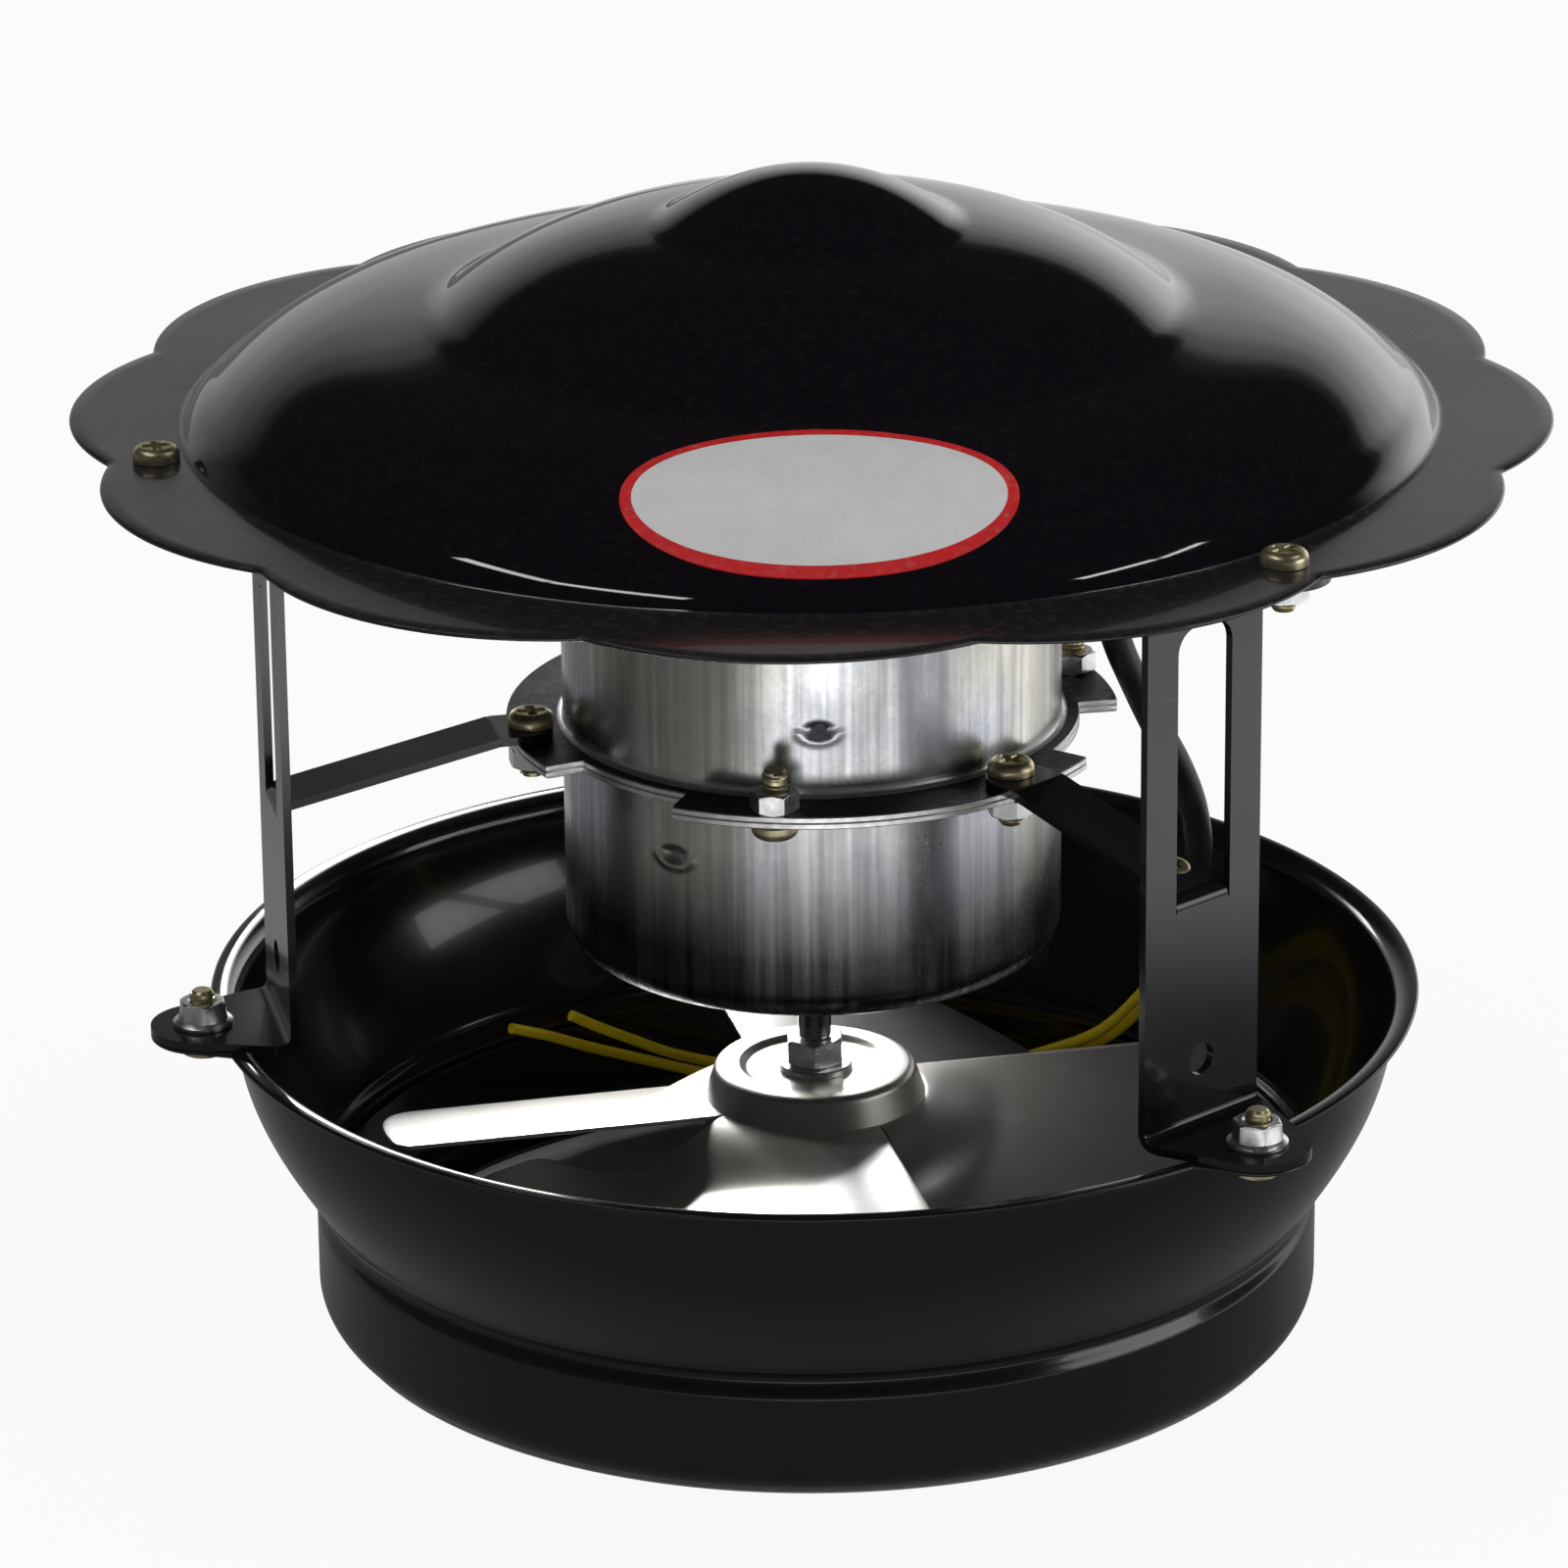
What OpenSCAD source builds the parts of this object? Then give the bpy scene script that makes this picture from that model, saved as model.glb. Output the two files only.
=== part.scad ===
// Chimney draught fan: a pressed basin with a spigot, three slotted legs that carry
// a two-shell motor, a four-blade sheet fan below it and a domed, scalloped rain cap.
// Millimetres. The origin is the centre of the spigot's foot, +Z up the fan's axis.
// Azimuths are counted from +X, anticlockwise seen from above.

/* [Spigot and basin] */
// Outer radius of the spigot that enters the flue pipe
spigot_r = 121.4; // [112:0.2:126]
// Height at which the spigot's straight wall ends
spigot_top_z = 25; // [20:0.5:28]
// Radius of the rounded lower corner of the spigot
foot_round = 8; // [5:0.5:10]
// Width of the flat return under the spigot
foot_return = 3; // [3:0.5:8]
// Depth of the groove between spigot and bowl
groove_depth = 1.6; // [0.8:0.1:2.4]
// Height of the groove
groove_z = 30; // [29:0.2:32]
// Largest outer radius of the bowl wall, just under its lip
bowl_r = 139.8; // [136:0.2:142]
// Width of the lip, from the bowl's wall to its edge
lip_w = 5.6; // [4.8:0.1:7]
// Height of the lip's top face
rim_z = 81.7; // [76:0.1:90]
// Sheet thickness of the basin
basin_t = 1.2; // [0.8:0.1:1.6]

/* [Cap] */
// Height of the brim's top face
brim_z = 224.7; // [215:0.1:245]
// Height of the dome above the brim
dome_h = 58.3; // [50:0.1:64]
// Radius at which the dome's side meets its base fillet
dome_r = 146.3; // [145:0.1:148]
// Width of the fillet between the dome's side and the brim
dome_fillet = 2.4; // [2:0.1:2.8]
// Radius at which the dome's top tier ends
tier_top_r = 33; // [30:0.5:36]
// Depth of the top tier
tier_top_depth = 10.6; // [9:0.1:12]
// Radius at which the dome's middle tier ends
tier_mid_r = 85; // [78:0.5:90]
// Depth of the middle tier's end below the dome's top
tier_mid_depth = 30.8; // [26:0.1:34]
// Width of the brim, from the dome's side to the tips of its scallops
brim_w = 27.7; // [24:0.1:34]
// Depth of the notches between the scallops
scallop_depth = 8.5; // [4:0.5:10]
// Number of scallops round the brim
scallops = 12; // [12]
// Sheet thickness of the cap
cap_t = 1.2; // [0.8:0.1:1.6]

/* [Legs and arms] */
// Azimuth of the right-hand leg, the others follow at equal steps
leg_az = 312.6; // [310:0.2:315]
// Distance from the bowl's wall in to the leg's outer face
leg_inset = 9.3; // [8:0.1:11]
// Width of the leg strip
leg_w = 36.6; // [34:0.2:40]
// Thickness of the leg strip
leg_t = 2; // [1.6:0.1:2.2]
// Width of the slot from which the arm is bent
slot_w = 17.2; // [16.8:0.1:19]
// Gap between the slot's edge and the arm that was cut from it
slot_gap = 0.4; // [0.3:0.1:0.8]
// Rise of the arm from the slot's lower edge to its flat end
arm_rise = 14.3; // [12:0.1:18]
// Distance from the leg's upper tab down to the slot
slot_drop = 16.9; // [12:0.1:22]
// Radius of the rounded end of the foot tab and of the lug under it
foot_end_r = 12.5; // [11:0.1:13]
// Radius of the rounded end of the tab under the brim
top_end_r = 10.5; // [10:0.1:11]
// Height of the round hole in each leg above the rim
leg_hole_rise = 17.5; // [14:0.1:28]
// Radius of the round hole near the foot of each leg
leg_hole_r = 3.9; // [3:0.1:5]

/* [Motor] */
// Outer radius of the two drawn shells
shell_r = 59.4; // [58:0.1:60]
// Sheet thickness of the shells
shell_t = 1.5; // [1:0.1:1.8]
// Height of the joint between the two shells
joint_z = 148.5; // [148:0.1:151]
// Depth of the lower shell below the joint
lower_depth = 55.5; // [52:0.5:60]
// Height of the upper shell above the joint
upper_depth = 55.5; // [52:0.5:60]
// Radius of the drawn corner of the shells
shell_round = 7; // [5:0.5:9]
// Width of the narrow parts of the shell flange, from the shell's wall
flange_w = 4.3; // [3.5:0.1:5.5]
// Width of the three wide lobes of the shell flange, from the shell's wall
lobe_w = 13.6; // [12.6:0.1:16]
// Angle that one lobe spans
lobe_angle = 89; // [80:1:96]
// Distance from the shell's wall out to the bolt circle in the lobes
lobe_bolt_out = 8.6; // [8.4:0.1:9]
// Angle between the two bolts of one lobe
lobe_bolt_angle = 50; // [44:1:56]

/* [Rotor and fan] */
// Radius of the shaft
shaft_r = 4; // [3.8:0.1:4.2]
// Tip radius of the fan
fan_r = 105; // [96:0.5:106]
// Height of the fan's hub face
hub_z = 59; // [56:0.1:62]
// Outer radius of the raised hub face
hub_r = 24.7; // [23:0.1:26]
// Radius of the shallow dish in the hub
dish_r = 17.5; // [16:0.1:19]
// Depth of the shallow dish in the hub
dish_depth = 1.2; // [0.6:0.1:2]
// Sheet thickness of the fan
fan_t = 1; // [0.8:0.1:1.4]
// Number of blades
blades = 4; // [4]
// Azimuth of the middle of the front blade
blade_az = 245; // [235:1:255]
// Angle that one blade spans
blade_angle = 80; // [70:1:84]
// Pitch of a blade about its own middle line
blade_pitch = 12.8; // [8:0.2:15]
// Fall of a blade's middle line towards its tip
blade_fall = 6.1; // [4:0.1:7]
// Radius to which each blade is curved
blade_curve_r = 320; // [280:5:500]

/* [Fits] */
// Radial clearance of the bolts in their holes
bolt_clear = 0.3; // [0.2:0.05:0.5]
// Radial clearance of the shaft in the bores that turn with it
shaft_clear = 0.02; // [0.01:0.01:0.04]
// Radial clearance of the balls in their grooves
ball_clear = 0.04; // [0.02:0.01:0.06]
// Radial clearance of the stator core in the shells
stator_clear = 0.2; // [0.1:0.05:0.3]
// Air gap between stator and rotor
air_gap = 0.4; // [0.3:0.05:0.6]

/* [Hidden] */
$fn = 96;

leg_count = 3;
leg_step = 360 / leg_count;
leg_r = bowl_r - leg_inset;
leg_inner_r = leg_r - leg_t;
bend_r = 2;
tab_z = rim_z;
tab_top_z = tab_z + leg_t;
brim_low_z = brim_z - cap_t;
top_tab_z = brim_low_z - leg_t;
leg_hole_z = rim_z + leg_hole_rise;
slot_high_z = top_tab_z - slot_drop;
arm_w = slot_w - 2 * slot_gap;
lip_bend_r = 3.8;
rim_r = bowl_r + lip_w;

// M6 fasteners, with the M4 earth screw and the M8 thread on the shaft
m6_r = 3;
m6_flats = 10;
m6_nut_r = m6_flats / 2 / cos(30);
m6_nut_h = 5;
m6_pan_r = 5.5;
m6_pan_h = 3.6;
m6_end = 5;
m4_r = 2;
m4_nut_r = 7 / 2 / cos(30);
m4_nut_h = 3;
m4_pan_r = 4;
m4_pan_h = 2.4;
m8_nut_r = 13 / 2 / cos(30);
m8_nut_h = 6.5;
thread_clear = 0.02;
head_clear = 0.2;
bolt_hole_r = m6_r + bolt_clear;
flange_nut_r = 7.1;
flange_nut_h = 6;
flange_nut_skirt = 1.6;
hex_head_h = 4;
foot_pcr = bowl_r + lip_bend_r + m6_flats / 2;
brim_pcr = dome_r + dome_fillet + m6_pan_r + head_clear;
brim_tip_r = dome_r + brim_w;
brim_notch_r = brim_tip_r - scallop_depth;

// Shells: flanges meet at the joint
lower_flange_z = joint_z - shell_t;
upper_flange_z = joint_z + shell_t;
shell_low_z = joint_z - lower_depth;
shell_high_z = joint_z + upper_depth;
shell_foot_round = 1.4;
flange_r = shell_r + flange_w;
lobe_r = shell_r + lobe_w;
lobe_pcr = shell_r + lobe_bolt_out;
arm_top_z = upper_flange_z + leg_t;
slot_low_z = arm_top_z - arm_rise;
arm_end_r = shell_r + shell_foot_round + 2.1;
arm_flat_r = lobe_pcr + 9;

// Bearings of the 608 size
bearing_r = 11;
bearing_w = 7;
ball_r = 1.98;
ball_pcr = 7.5;
ball_count = 7;
race_gap = 1.1;
boss_t = 1.5;
bearing_low_z = shell_low_z + shell_t;
bearing_high_z = shell_high_z - shell_t - bearing_w;

// Stator and rotor
stator_h = 40;
stator_z = joint_z - stator_h / 2;
stator_r = shell_r - shell_t - stator_clear;
rotor_r = 29.6;
stator_bore_r = rotor_r + air_gap;
stator_slots = 24;
slot_depth = 15;
winding_end_h = 12;
rotor_ring_h = 5;

// Fan: the hub is one sheet with the blades
hub_low_z = hub_z - fan_t;
skirt_r = hub_r + 3.6;
skirt_z = hub_z - 11.8;
blade_root_z = hub_z - 5;
dish_z = hub_z - dish_depth;
washer_t = 1.6;
washer_r = 9;
shaft_low_z = dish_z - fan_t - washer_t - m8_nut_h - 2.5;
shaft_high_z = bearing_high_z + bearing_w;

// Label on the front of the dome
label_az = 271;
label_half_w = 44;
label_half_d = 24.5;
label_mid_r = dome_r - label_half_d - 5.3;
label_t = 0.3;

// Cable: a black sleeve from the motor's top, then two yellow leads that lie
// along the rear wall of the spigot and end free at the left
sleeve_r = 3.65;
sleeve_sides = 10;
lead_r = 1.4;
lead_sides = 8;
grommet_r = 6.5;
grommet_h = 3;
grommet_x = 28;
sleeve_route = [[28, 0, 204], [28, 0, 211], [30, 0, 219], [36, 0, 226], [45, 1, 228],
                [54, 2, 224], [60, 3, 215], [64, 4, 203], [67, 5, 190], [70, 8, 176],
                [73, 13, 162], [78, 20, 148], [83, 28, 135], [89, 37, 121], [93, 45, 108],
                [95, 53, 95], [95, 61, 83], [94, 67, 75]];
lead_outer_route = [[95, 68, 74], [95, 73, 65], [92, 79, 53], [85, 84, 40], [75, 89, 28],
                    [63, 98, 20], [48, 106, 13], [30, 112, 8], [10, 116, 5], [-10, 116, 6],
                    [-28, 112, 9], [-44, 107, 15], [-58, 99, 22], [-68, 92, 28], [-77, 85, 33]];
lead_inner_route = [[92, 66, 74], [91, 70, 65], [88, 76, 53], [81, 81, 41], [72, 87, 30],
                    [59, 96, 21], [45, 102, 15], [28, 108, 10], [10, 112, 8], [-9, 112, 9],
                    [-25, 109, 13], [-37, 104, 18], [-47, 99, 24], [-55, 95, 29], [-62, 91, 34]];

// Points on a cubic from a to b that leaves and arrives with the given slopes
function cubic(a, sa, b, sb, n) =
    [for (i = [0:n - 1])
        let (t = i / n, d = b[0] - a[0])
        [a[0] + t * d,
         (2 * pow(t, 3) - 3 * pow(t, 2) + 1) * a[1] + (pow(t, 3) - 2 * pow(t, 2) + t) * d * sa
         + (3 * pow(t, 2) - 2 * pow(t, 3)) * b[1] + (pow(t, 3) - pow(t, 2)) * d * sb]];

// Points on an arc about c from angle a0 to a1
function arc(c, r, a0, a1, n) =
    [for (i = [0:n]) let (a = a0 + (a1 - a0) * i / n) [c[0] + r * cos(a), c[1] + r * sin(a)]];

// Unit normal of an open outline at point i, to the left of its run
function side_normal(p, i) =
    let (a = p[max(i - 1, 0)], b = p[min(i + 1, len(p) - 1)], d = b - a, l = norm(d))
    [-d[1] / l, d[0] / l];

// An open outline moved sideways by t, without crossing the axis
function moved(p, t) =
    [for (i = [0:len(p) - 1]) let (q = p[i] + t * side_normal(p, i)) [max(q[0], 0), q[1]]];

function reversed(p) = [for (i = [len(p) - 1:-1:0]) p[i]];

// Outer outline of the basin from its foot return to its lip
basin_outline = concat(
    [[spigot_r - foot_round - foot_return, 0]],
    arc([spigot_r - foot_round, foot_round], foot_round, -90, 0, 10),
    [[spigot_r, spigot_top_z]],
    [for (i = [1:5]) [spigot_r - groove_depth * (1 - cos(36 * i)) / 2,
                      spigot_top_z + (groove_z - spigot_top_z) * i / 5]],
    [for (i = [1:4]) [spigot_r - groove_depth + (groove_depth + 0.8) * (1 - cos(45 * i)) / 2,
                      groove_z + 3.5 * i / 4]],
    [for (i = [1:12])
        let (t = i / 12, z0 = groove_z + 3.5, z1 = rim_z - basin_t - lip_bend_r)
        [spigot_r + 0.8 + (bowl_r - spigot_r - 0.8) * pow(sin(90 * pow(t, 0.92)), 1.25),
         z0 + (z1 - z0) * pow(t, 1.1)]],
    arc([bowl_r + lip_bend_r, rim_z - basin_t - lip_bend_r], lip_bend_r, 180, 90, 6),
    [[rim_r, rim_z - basin_t]]);

// Outer outline of the cap from its top down to the brim: three domed tiers with
// a flatter shoulder after the first two, and a rounded side
dome_top = [0, brim_z + dome_h];
tier_top = [tier_top_r, dome_top[1] - tier_top_depth];
shoulder_top = tier_top + [5.5, -2.1];
tier_mid = [tier_mid_r, dome_top[1] - tier_mid_depth];
shoulder_mid = tier_mid + [7, -2.8];
side_top = [dome_r - 7.3, brim_z + 8.2];
side_low = [dome_r, brim_z + 1.2];
dome_foot = [dome_r + dome_fillet, brim_z];
dome_outline = concat(
    cubic(dome_top, 0, tier_top, -0.62, 9),
    cubic(tier_top, -0.62, shoulder_top, -0.14, 4),
    cubic(shoulder_top, -0.14, tier_mid, -0.75, 10),
    cubic(tier_mid, -0.75, shoulder_mid, -0.16, 4),
    cubic(shoulder_mid, -0.16, side_top, -0.85, 10),
    cubic(side_top, -0.85, side_low, -1.6, 4),
    cubic(side_low, -1.6, dome_foot, 0, 4),
    [dome_foot, dome_foot + [2.6, 0]]);

// Outline of one shell in its half plane, open end at z = 0 and depth upwards
function shell_outline(depth) = concat(
    [[flange_r, 0], [shell_r + shell_foot_round, 0]],
    arc([shell_r + shell_foot_round, shell_foot_round], shell_foot_round, 270, 180, 4),
    [[shell_r, depth - shell_round]],
    arc([shell_r - shell_round, depth - shell_round], shell_round, 0, 90, 8),
    [[0, depth]]);

// Places its children at each leg, with +X pointing outwards
module at_legs() {
    for (i = [0:leg_count - 1]) {
        rotate([0, 0, leg_az + i * leg_step]) children();
    }
}

// A straight bore or shank about Z
module rod(r, z0, z1) {
    translate([0, 0, z0]) cylinder(r = r, h = z1 - z0);
}

// Hexagonal nut with a plain bore, flats facing the axis of the fan
module hex_nut(corner_r, h, bore_r) {
    difference() {
        rotate([0, 0, 30]) cylinder(r = corner_r, h = h, $fn = 6);
        translate([0, 0, -1]) cylinder(r = bore_r, h = h + 2);
    }
}

// Pan head with its flat face at z = 0, domed upwards, and a cross recess
module pan_head(r, h) {
    difference() {
        rotate_extrude() polygon(concat([[0, 0], [r, 0]],
            arc([r - h * 0.6, h * 0.4], h * 0.6, 0, 90, 5), [[0, h]]));
        for (a = [0, 90]) {
            rotate([0, 0, a]) translate([-r * 0.5, -r * 0.09, h * 0.5]) cube([r, r * 0.18, h]);
        }
    }
}

// Round-ended tab in plan: tapers from full width at r0 to a circle at the bolt
module tab_plan(r0, w, bolt_r, end_r) {
    a = asin((w / 2 - end_r) / norm([bolt_r - r0, w / 2 - end_r]));
    union() {
        translate([bolt_r, 0]) circle(r = end_r);
        polygon([[r0, -w / 2], [bolt_r + end_r * sin(a), -end_r * cos(a)],
                 [bolt_r + end_r * sin(a), end_r * cos(a)], [r0, w / 2]]);
    }
}

module basin() {
    color("#141416") difference() {
        union() {
            rotate_extrude($fn = 128)
                polygon(concat(basin_outline, reversed(moved(basin_outline, basin_t))));
            at_legs() difference() {
                translate([0, 0, rim_z - basin_t]) linear_extrude(basin_t)
                    tab_plan(bowl_r + 2.5, leg_w * 0.94, foot_pcr, foot_end_r);
                rod(bowl_r + 3, 0, rim_z + 1);
            }
        }
        at_legs() translate([foot_pcr, 0, 0]) rod(bolt_hole_r, rim_z - 5, rim_z + 1);
    }
}

// Flat scalloped brim, open under the dome
module brim() {
    half = brim_notch_r * sin(180 / scallops);
    rise = brim_tip_r - brim_notch_r * cos(180 / scallops);
    lobe = (half * half + rise * rise) / (2 * rise);
    difference() {
        translate([0, 0, brim_low_z]) for (i = [0:scallops - 1]) {
            rotate([0, 0, leg_az + (i + 0.5) * 360 / scallops])
                translate([brim_tip_r - lobe, 0, 0]) cylinder(r = lobe, h = cap_t);
        }
        rod(dome_foot[0] + 1.2, brim_low_z - 1, brim_z + 1);
    }
}

module cap() {
    color("#101012") difference() {
        union() {
            rotate_extrude($fn = 128)
                polygon(concat(dome_outline, reversed(moved(dome_outline, -cap_t))));
            brim();
        }
        at_legs() translate([brim_pcr, 0, 0]) rod(bolt_hole_r, brim_low_z - 1, brim_z + 1);
    }
}

// Oval sticker that follows the dome
module rating_label() {
    reach = label_half_d + 6;
    band = [for (p = dome_outline) if (abs(p[0] - label_mid_r) < reach) p];
    color("#f2f2f0") intersection() {
        rotate_extrude($fn = 128)
            polygon(concat(band, reversed([for (p = band) p + [0, label_t]])));
        rotate([0, 0, label_az]) translate([label_mid_r, 0, brim_z]) linear_extrude(dome_h)
            polygon([for (a = [0:6:354]) [label_half_d * cos(a), label_half_w * sin(a)]]);
    }
}

// Quarter bend about Y: joins the upright strip to a tab that points outwards
module outward_bend(w) {
    rotate([90, 0, 0]) translate([0, 0, -w / 2]) intersection() {
        difference() {
            cylinder(r = bend_r + leg_t, h = w, $fn = 32);
            translate([0, 0, -1]) cylinder(r = bend_r, h = w + 2, $fn = 32);
        }
        translate([-bend_r - leg_t, -bend_r - leg_t, 0])
            cube([bend_r + leg_t, bend_r + leg_t, w]);
    }
}

// Upright strip with its slot, hole and two outward tabs
module leg_strip() {
    low = tab_top_z + bend_r;
    high = top_tab_z - bend_r;
    difference() {
        union() {
            translate([leg_inner_r, -leg_w / 2, low]) cube([leg_t, leg_w, high - low]);
            translate([leg_r + bend_r, 0, low]) outward_bend(leg_w);
            translate([leg_r + bend_r, 0, high]) mirror([0, 0, 1]) outward_bend(leg_w);
            translate([0, 0, tab_z]) linear_extrude(leg_t)
                tab_plan(leg_r + bend_r, leg_w, foot_pcr, foot_end_r);
            translate([0, 0, top_tab_z]) linear_extrude(leg_t)
                tab_plan(leg_r + bend_r, leg_w, brim_pcr, top_end_r);
        }
        translate([leg_inner_r - 1, -slot_w / 2, slot_low_z])
            cube([leg_t + 2, slot_w, slot_high_z - slot_low_z - slot_w / 3]);
        translate([leg_inner_r - 1, -slot_w / 6, slot_high_z - slot_w])
            cube([leg_t + 2, slot_w / 3, slot_w]);
        for (s = [-1, 1]) {
            translate([leg_inner_r - 1, s * slot_w / 6, slot_high_z - slot_w / 3])
                rotate([0, 90, 0]) cylinder(r = slot_w / 3, h = leg_t + 2);
        }
        translate([leg_inner_r - 1, 0, leg_hole_z])
            rotate([0, 90, 0]) cylinder(r = leg_hole_r, h = leg_t + 2);
        translate([foot_pcr, 0, 0]) rod(bolt_hole_r, tab_z - 1, tab_top_z + 1);
        translate([brim_pcr, 0, 0]) rod(bolt_hole_r, top_tab_z - 1, brim_low_z + 1);
    }
}

// Side view of the arm: a strip of even thickness from the slot's lower edge to
// its flat end on the motor's lobe
arm_root = [leg_inner_r - 0.5, slot_low_z + 0.6];
arm_knee = [arm_flat_r, arm_top_z];
arm_slope = atan((arm_knee[1] - arm_root[1]) / (arm_root[0] - arm_knee[0]));
arm_side = [[leg_r, slot_low_z - leg_t], [leg_r, slot_low_z], arm_root, arm_knee,
            [arm_end_r, arm_top_z], [arm_end_r, upper_flange_z],
            [arm_flat_r - leg_t * tan(arm_slope / 2), upper_flange_z],
            arm_root - leg_t * [sin(arm_slope), cos(arm_slope)],
            [leg_inner_r, slot_low_z - leg_t]];

// Arm bent inwards out of the slot
module leg_arm() {
    difference() {
        translate([0, arm_w / 2, 0]) rotate([90, 0, 0]) linear_extrude(arm_w) polygon(arm_side);
        translate([lobe_pcr, 0, 0]) rod(bolt_hole_r, upper_flange_z - 1, arm_top_z + 1);
    }
}

module leg(i) {
    color("#1b1a1c") rotate([0, 0, leg_az + i * leg_step]) union() {
        leg_strip();
        leg_arm();
    }
}

// The right leg's arm also carries the earth screw
module leg_with_earth() {
    color("#1b1a1c") difference() {
        rotate([0, 0, leg_az]) union() {
            leg_strip();
            leg_arm();
        }
        at_earth() rod(m4_r + bolt_clear, -leg_t - 2, 1);
    }
}

// Frame of the earth screw: z = 0 on the arm's upper face, at right angles to it
earth_r = leg_inner_r - 10;
earth_side = 2.5;
module at_earth() {
    rotate([0, 0, leg_az])
        translate([earth_r, earth_side, arm_root[1] + (arm_root[0] - earth_r) * tan(arm_slope)])
        rotate([0, arm_slope, 0]) children();
}

// Places its children at each lobe's middle, with +X pointing outwards
module at_lobes() {
    for (i = [0:leg_count - 1]) {
        rotate([0, 0, leg_az - lobe_bolt_angle / 2 + i * leg_step]) children();
    }
}

// Wide lobes of a shell flange with their six holes
module lobes(z0, z1) {
    spread = lobe_angle / 2;
    at_lobes() difference() {
        intersection() {
            rod(lobe_r, z0, z1);
            translate([0, 0, z0]) linear_extrude(z1 - z0)
                polygon([[10 * cos(spread), -10 * sin(spread)],
                         [lobe_r * 1.1 * cos(spread), -lobe_r * 1.1 * sin(spread)],
                         [lobe_r * 1.5, -lobe_r * 0.7], [lobe_r * 1.5, lobe_r * 0.7],
                         [lobe_r * 1.1 * cos(spread), lobe_r * 1.1 * sin(spread)],
                         [10 * cos(spread), 10 * sin(spread)]]);
        }
        rod(flange_r - 0.5, z0 - 1, z1 + 1);
        for (s = [-1, 1]) {
            rotate([0, 0, s * lobe_bolt_angle / 2]) translate([lobe_pcr, 0, 0])
                rod(bolt_hole_r, z0 - 1, z1 + 1);
        }
    }
}

// Bearing boss drawn into a shell's end, from z = 0 inwards
module bearing_boss() {
    difference() {
        rod(bearing_r + thread_clear + boss_t, 0, shell_t + bearing_w - 1);
        rod(bearing_r + thread_clear, shell_t, shell_t + bearing_w);
    }
}

module motor_shell_lower() {
    color("#9a9a98") difference() {
        union() {
            translate([0, 0, lower_flange_z]) mirror([0, 0, 1]) rotate_extrude($fn = 128)
                polygon(concat(shell_outline(lower_depth - shell_t),
                    reversed(moved(shell_outline(lower_depth - shell_t), shell_t))));
            lobes(lower_flange_z, joint_z);
            translate([0, 0, shell_low_z]) bearing_boss();
        }
        rod(shaft_r + 1.5, shell_low_z - 1, shell_low_z + shell_t + 1);
    }
}

module motor_shell_upper() {
    color("#a2a2a0") difference() {
        union() {
            translate([0, 0, upper_flange_z]) rotate_extrude($fn = 128)
                polygon(concat(shell_outline(upper_depth - shell_t),
                    reversed(moved(shell_outline(upper_depth - shell_t), shell_t))));
            lobes(joint_z, upper_flange_z);
            translate([0, 0, shell_high_z]) mirror([0, 0, 1]) bearing_boss();
        }
        translate([grommet_x, 0, 0])
            rod(sleeve_r + 1.5, shell_high_z - shell_t - 1, shell_high_z + 1);
    }
}

// Laminated ring with straight slots towards the rotor
module stator_core() {
    color("#5c5c60") difference() {
        rod(stator_r, stator_z, stator_z + stator_h);
        rod(stator_bore_r, stator_z - 1, stator_z + stator_h + 1);
        for (i = [0:stator_slots - 1]) {
            rotate([0, 0, i * 360 / stator_slots])
                translate([stator_bore_r - 2, -1.6, stator_z - 1])
                cube([slot_depth + 2, 3.2, stator_h + 2]);
        }
    }
}

// Coil ends above and below the core, joined by the bars in its slots
module stator_windings() {
    mid = stator_bore_r + 9;
    color("#a5562c") union() {
        for (s = [-1, 1]) {
            translate([0, 0, joint_z + s * (stator_h / 2 + winding_end_h / 2 + 0.3)])
                rotate_extrude() translate([mid, 0])
                polygon([for (a = [0:20:340]) [6.2 * cos(a), winding_end_h / 2 * sin(a)]]);
        }
        for (i = [0:stator_slots - 1]) {
            rotate([0, 0, i * 360 / stator_slots])
                translate([mid - 4.5, -1.3, stator_z - 3])
                cube([9, 2.6, stator_h + 6]);
        }
    }
}

// Rotor stack with an end ring each side, pressed on the shaft
module rotor_core() {
    color("#6c6c70") difference() {
        union() {
            rod(rotor_r, stator_z, stator_z + stator_h);
            rod(rotor_r - 3, stator_z - rotor_ring_h, stator_z + stator_h + rotor_ring_h);
        }
        rod(shaft_r + shaft_clear, stator_z - 10, stator_z + stator_h + 10);
        for (s = [-1, 1]) {
            rod(rotor_r - 12, joint_z + s * (stator_h / 2 + rotor_ring_h / 2 + 0.5) - rotor_ring_h / 2,
                joint_z + s * (stator_h / 2 + rotor_ring_h / 2 + 0.5) + rotor_ring_h / 2);
        }
    }
}

module shaft() {
    color("#c9c9c6") union() {
        rod(shaft_r, shaft_low_z, shaft_high_z);
        rod(shaft_r + 1.2, bearing_low_z + bearing_w, bearing_low_z + bearing_w + 6);
    }
}

// One ring of a ball bearing with its groove, foot at z = 0
module bearing_ring(r_in, r_out) {
    difference() {
        rod(r_out, 0, bearing_w);
        rod(r_in, -1, bearing_w + 1);
        translate([0, 0, bearing_w / 2]) rotate_extrude()
            translate([ball_pcr, 0]) circle(r = ball_r + ball_clear, $fn = 32);
    }
}

module bearing_outer_lower() {
    color("#b8b8bc") translate([0, 0, bearing_low_z])
        bearing_ring(ball_pcr + race_gap, bearing_r);
}

module bearing_inner_lower() {
    color("#c2c2c6") translate([0, 0, bearing_low_z])
        bearing_ring(shaft_r + shaft_clear, ball_pcr - race_gap);
}

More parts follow.
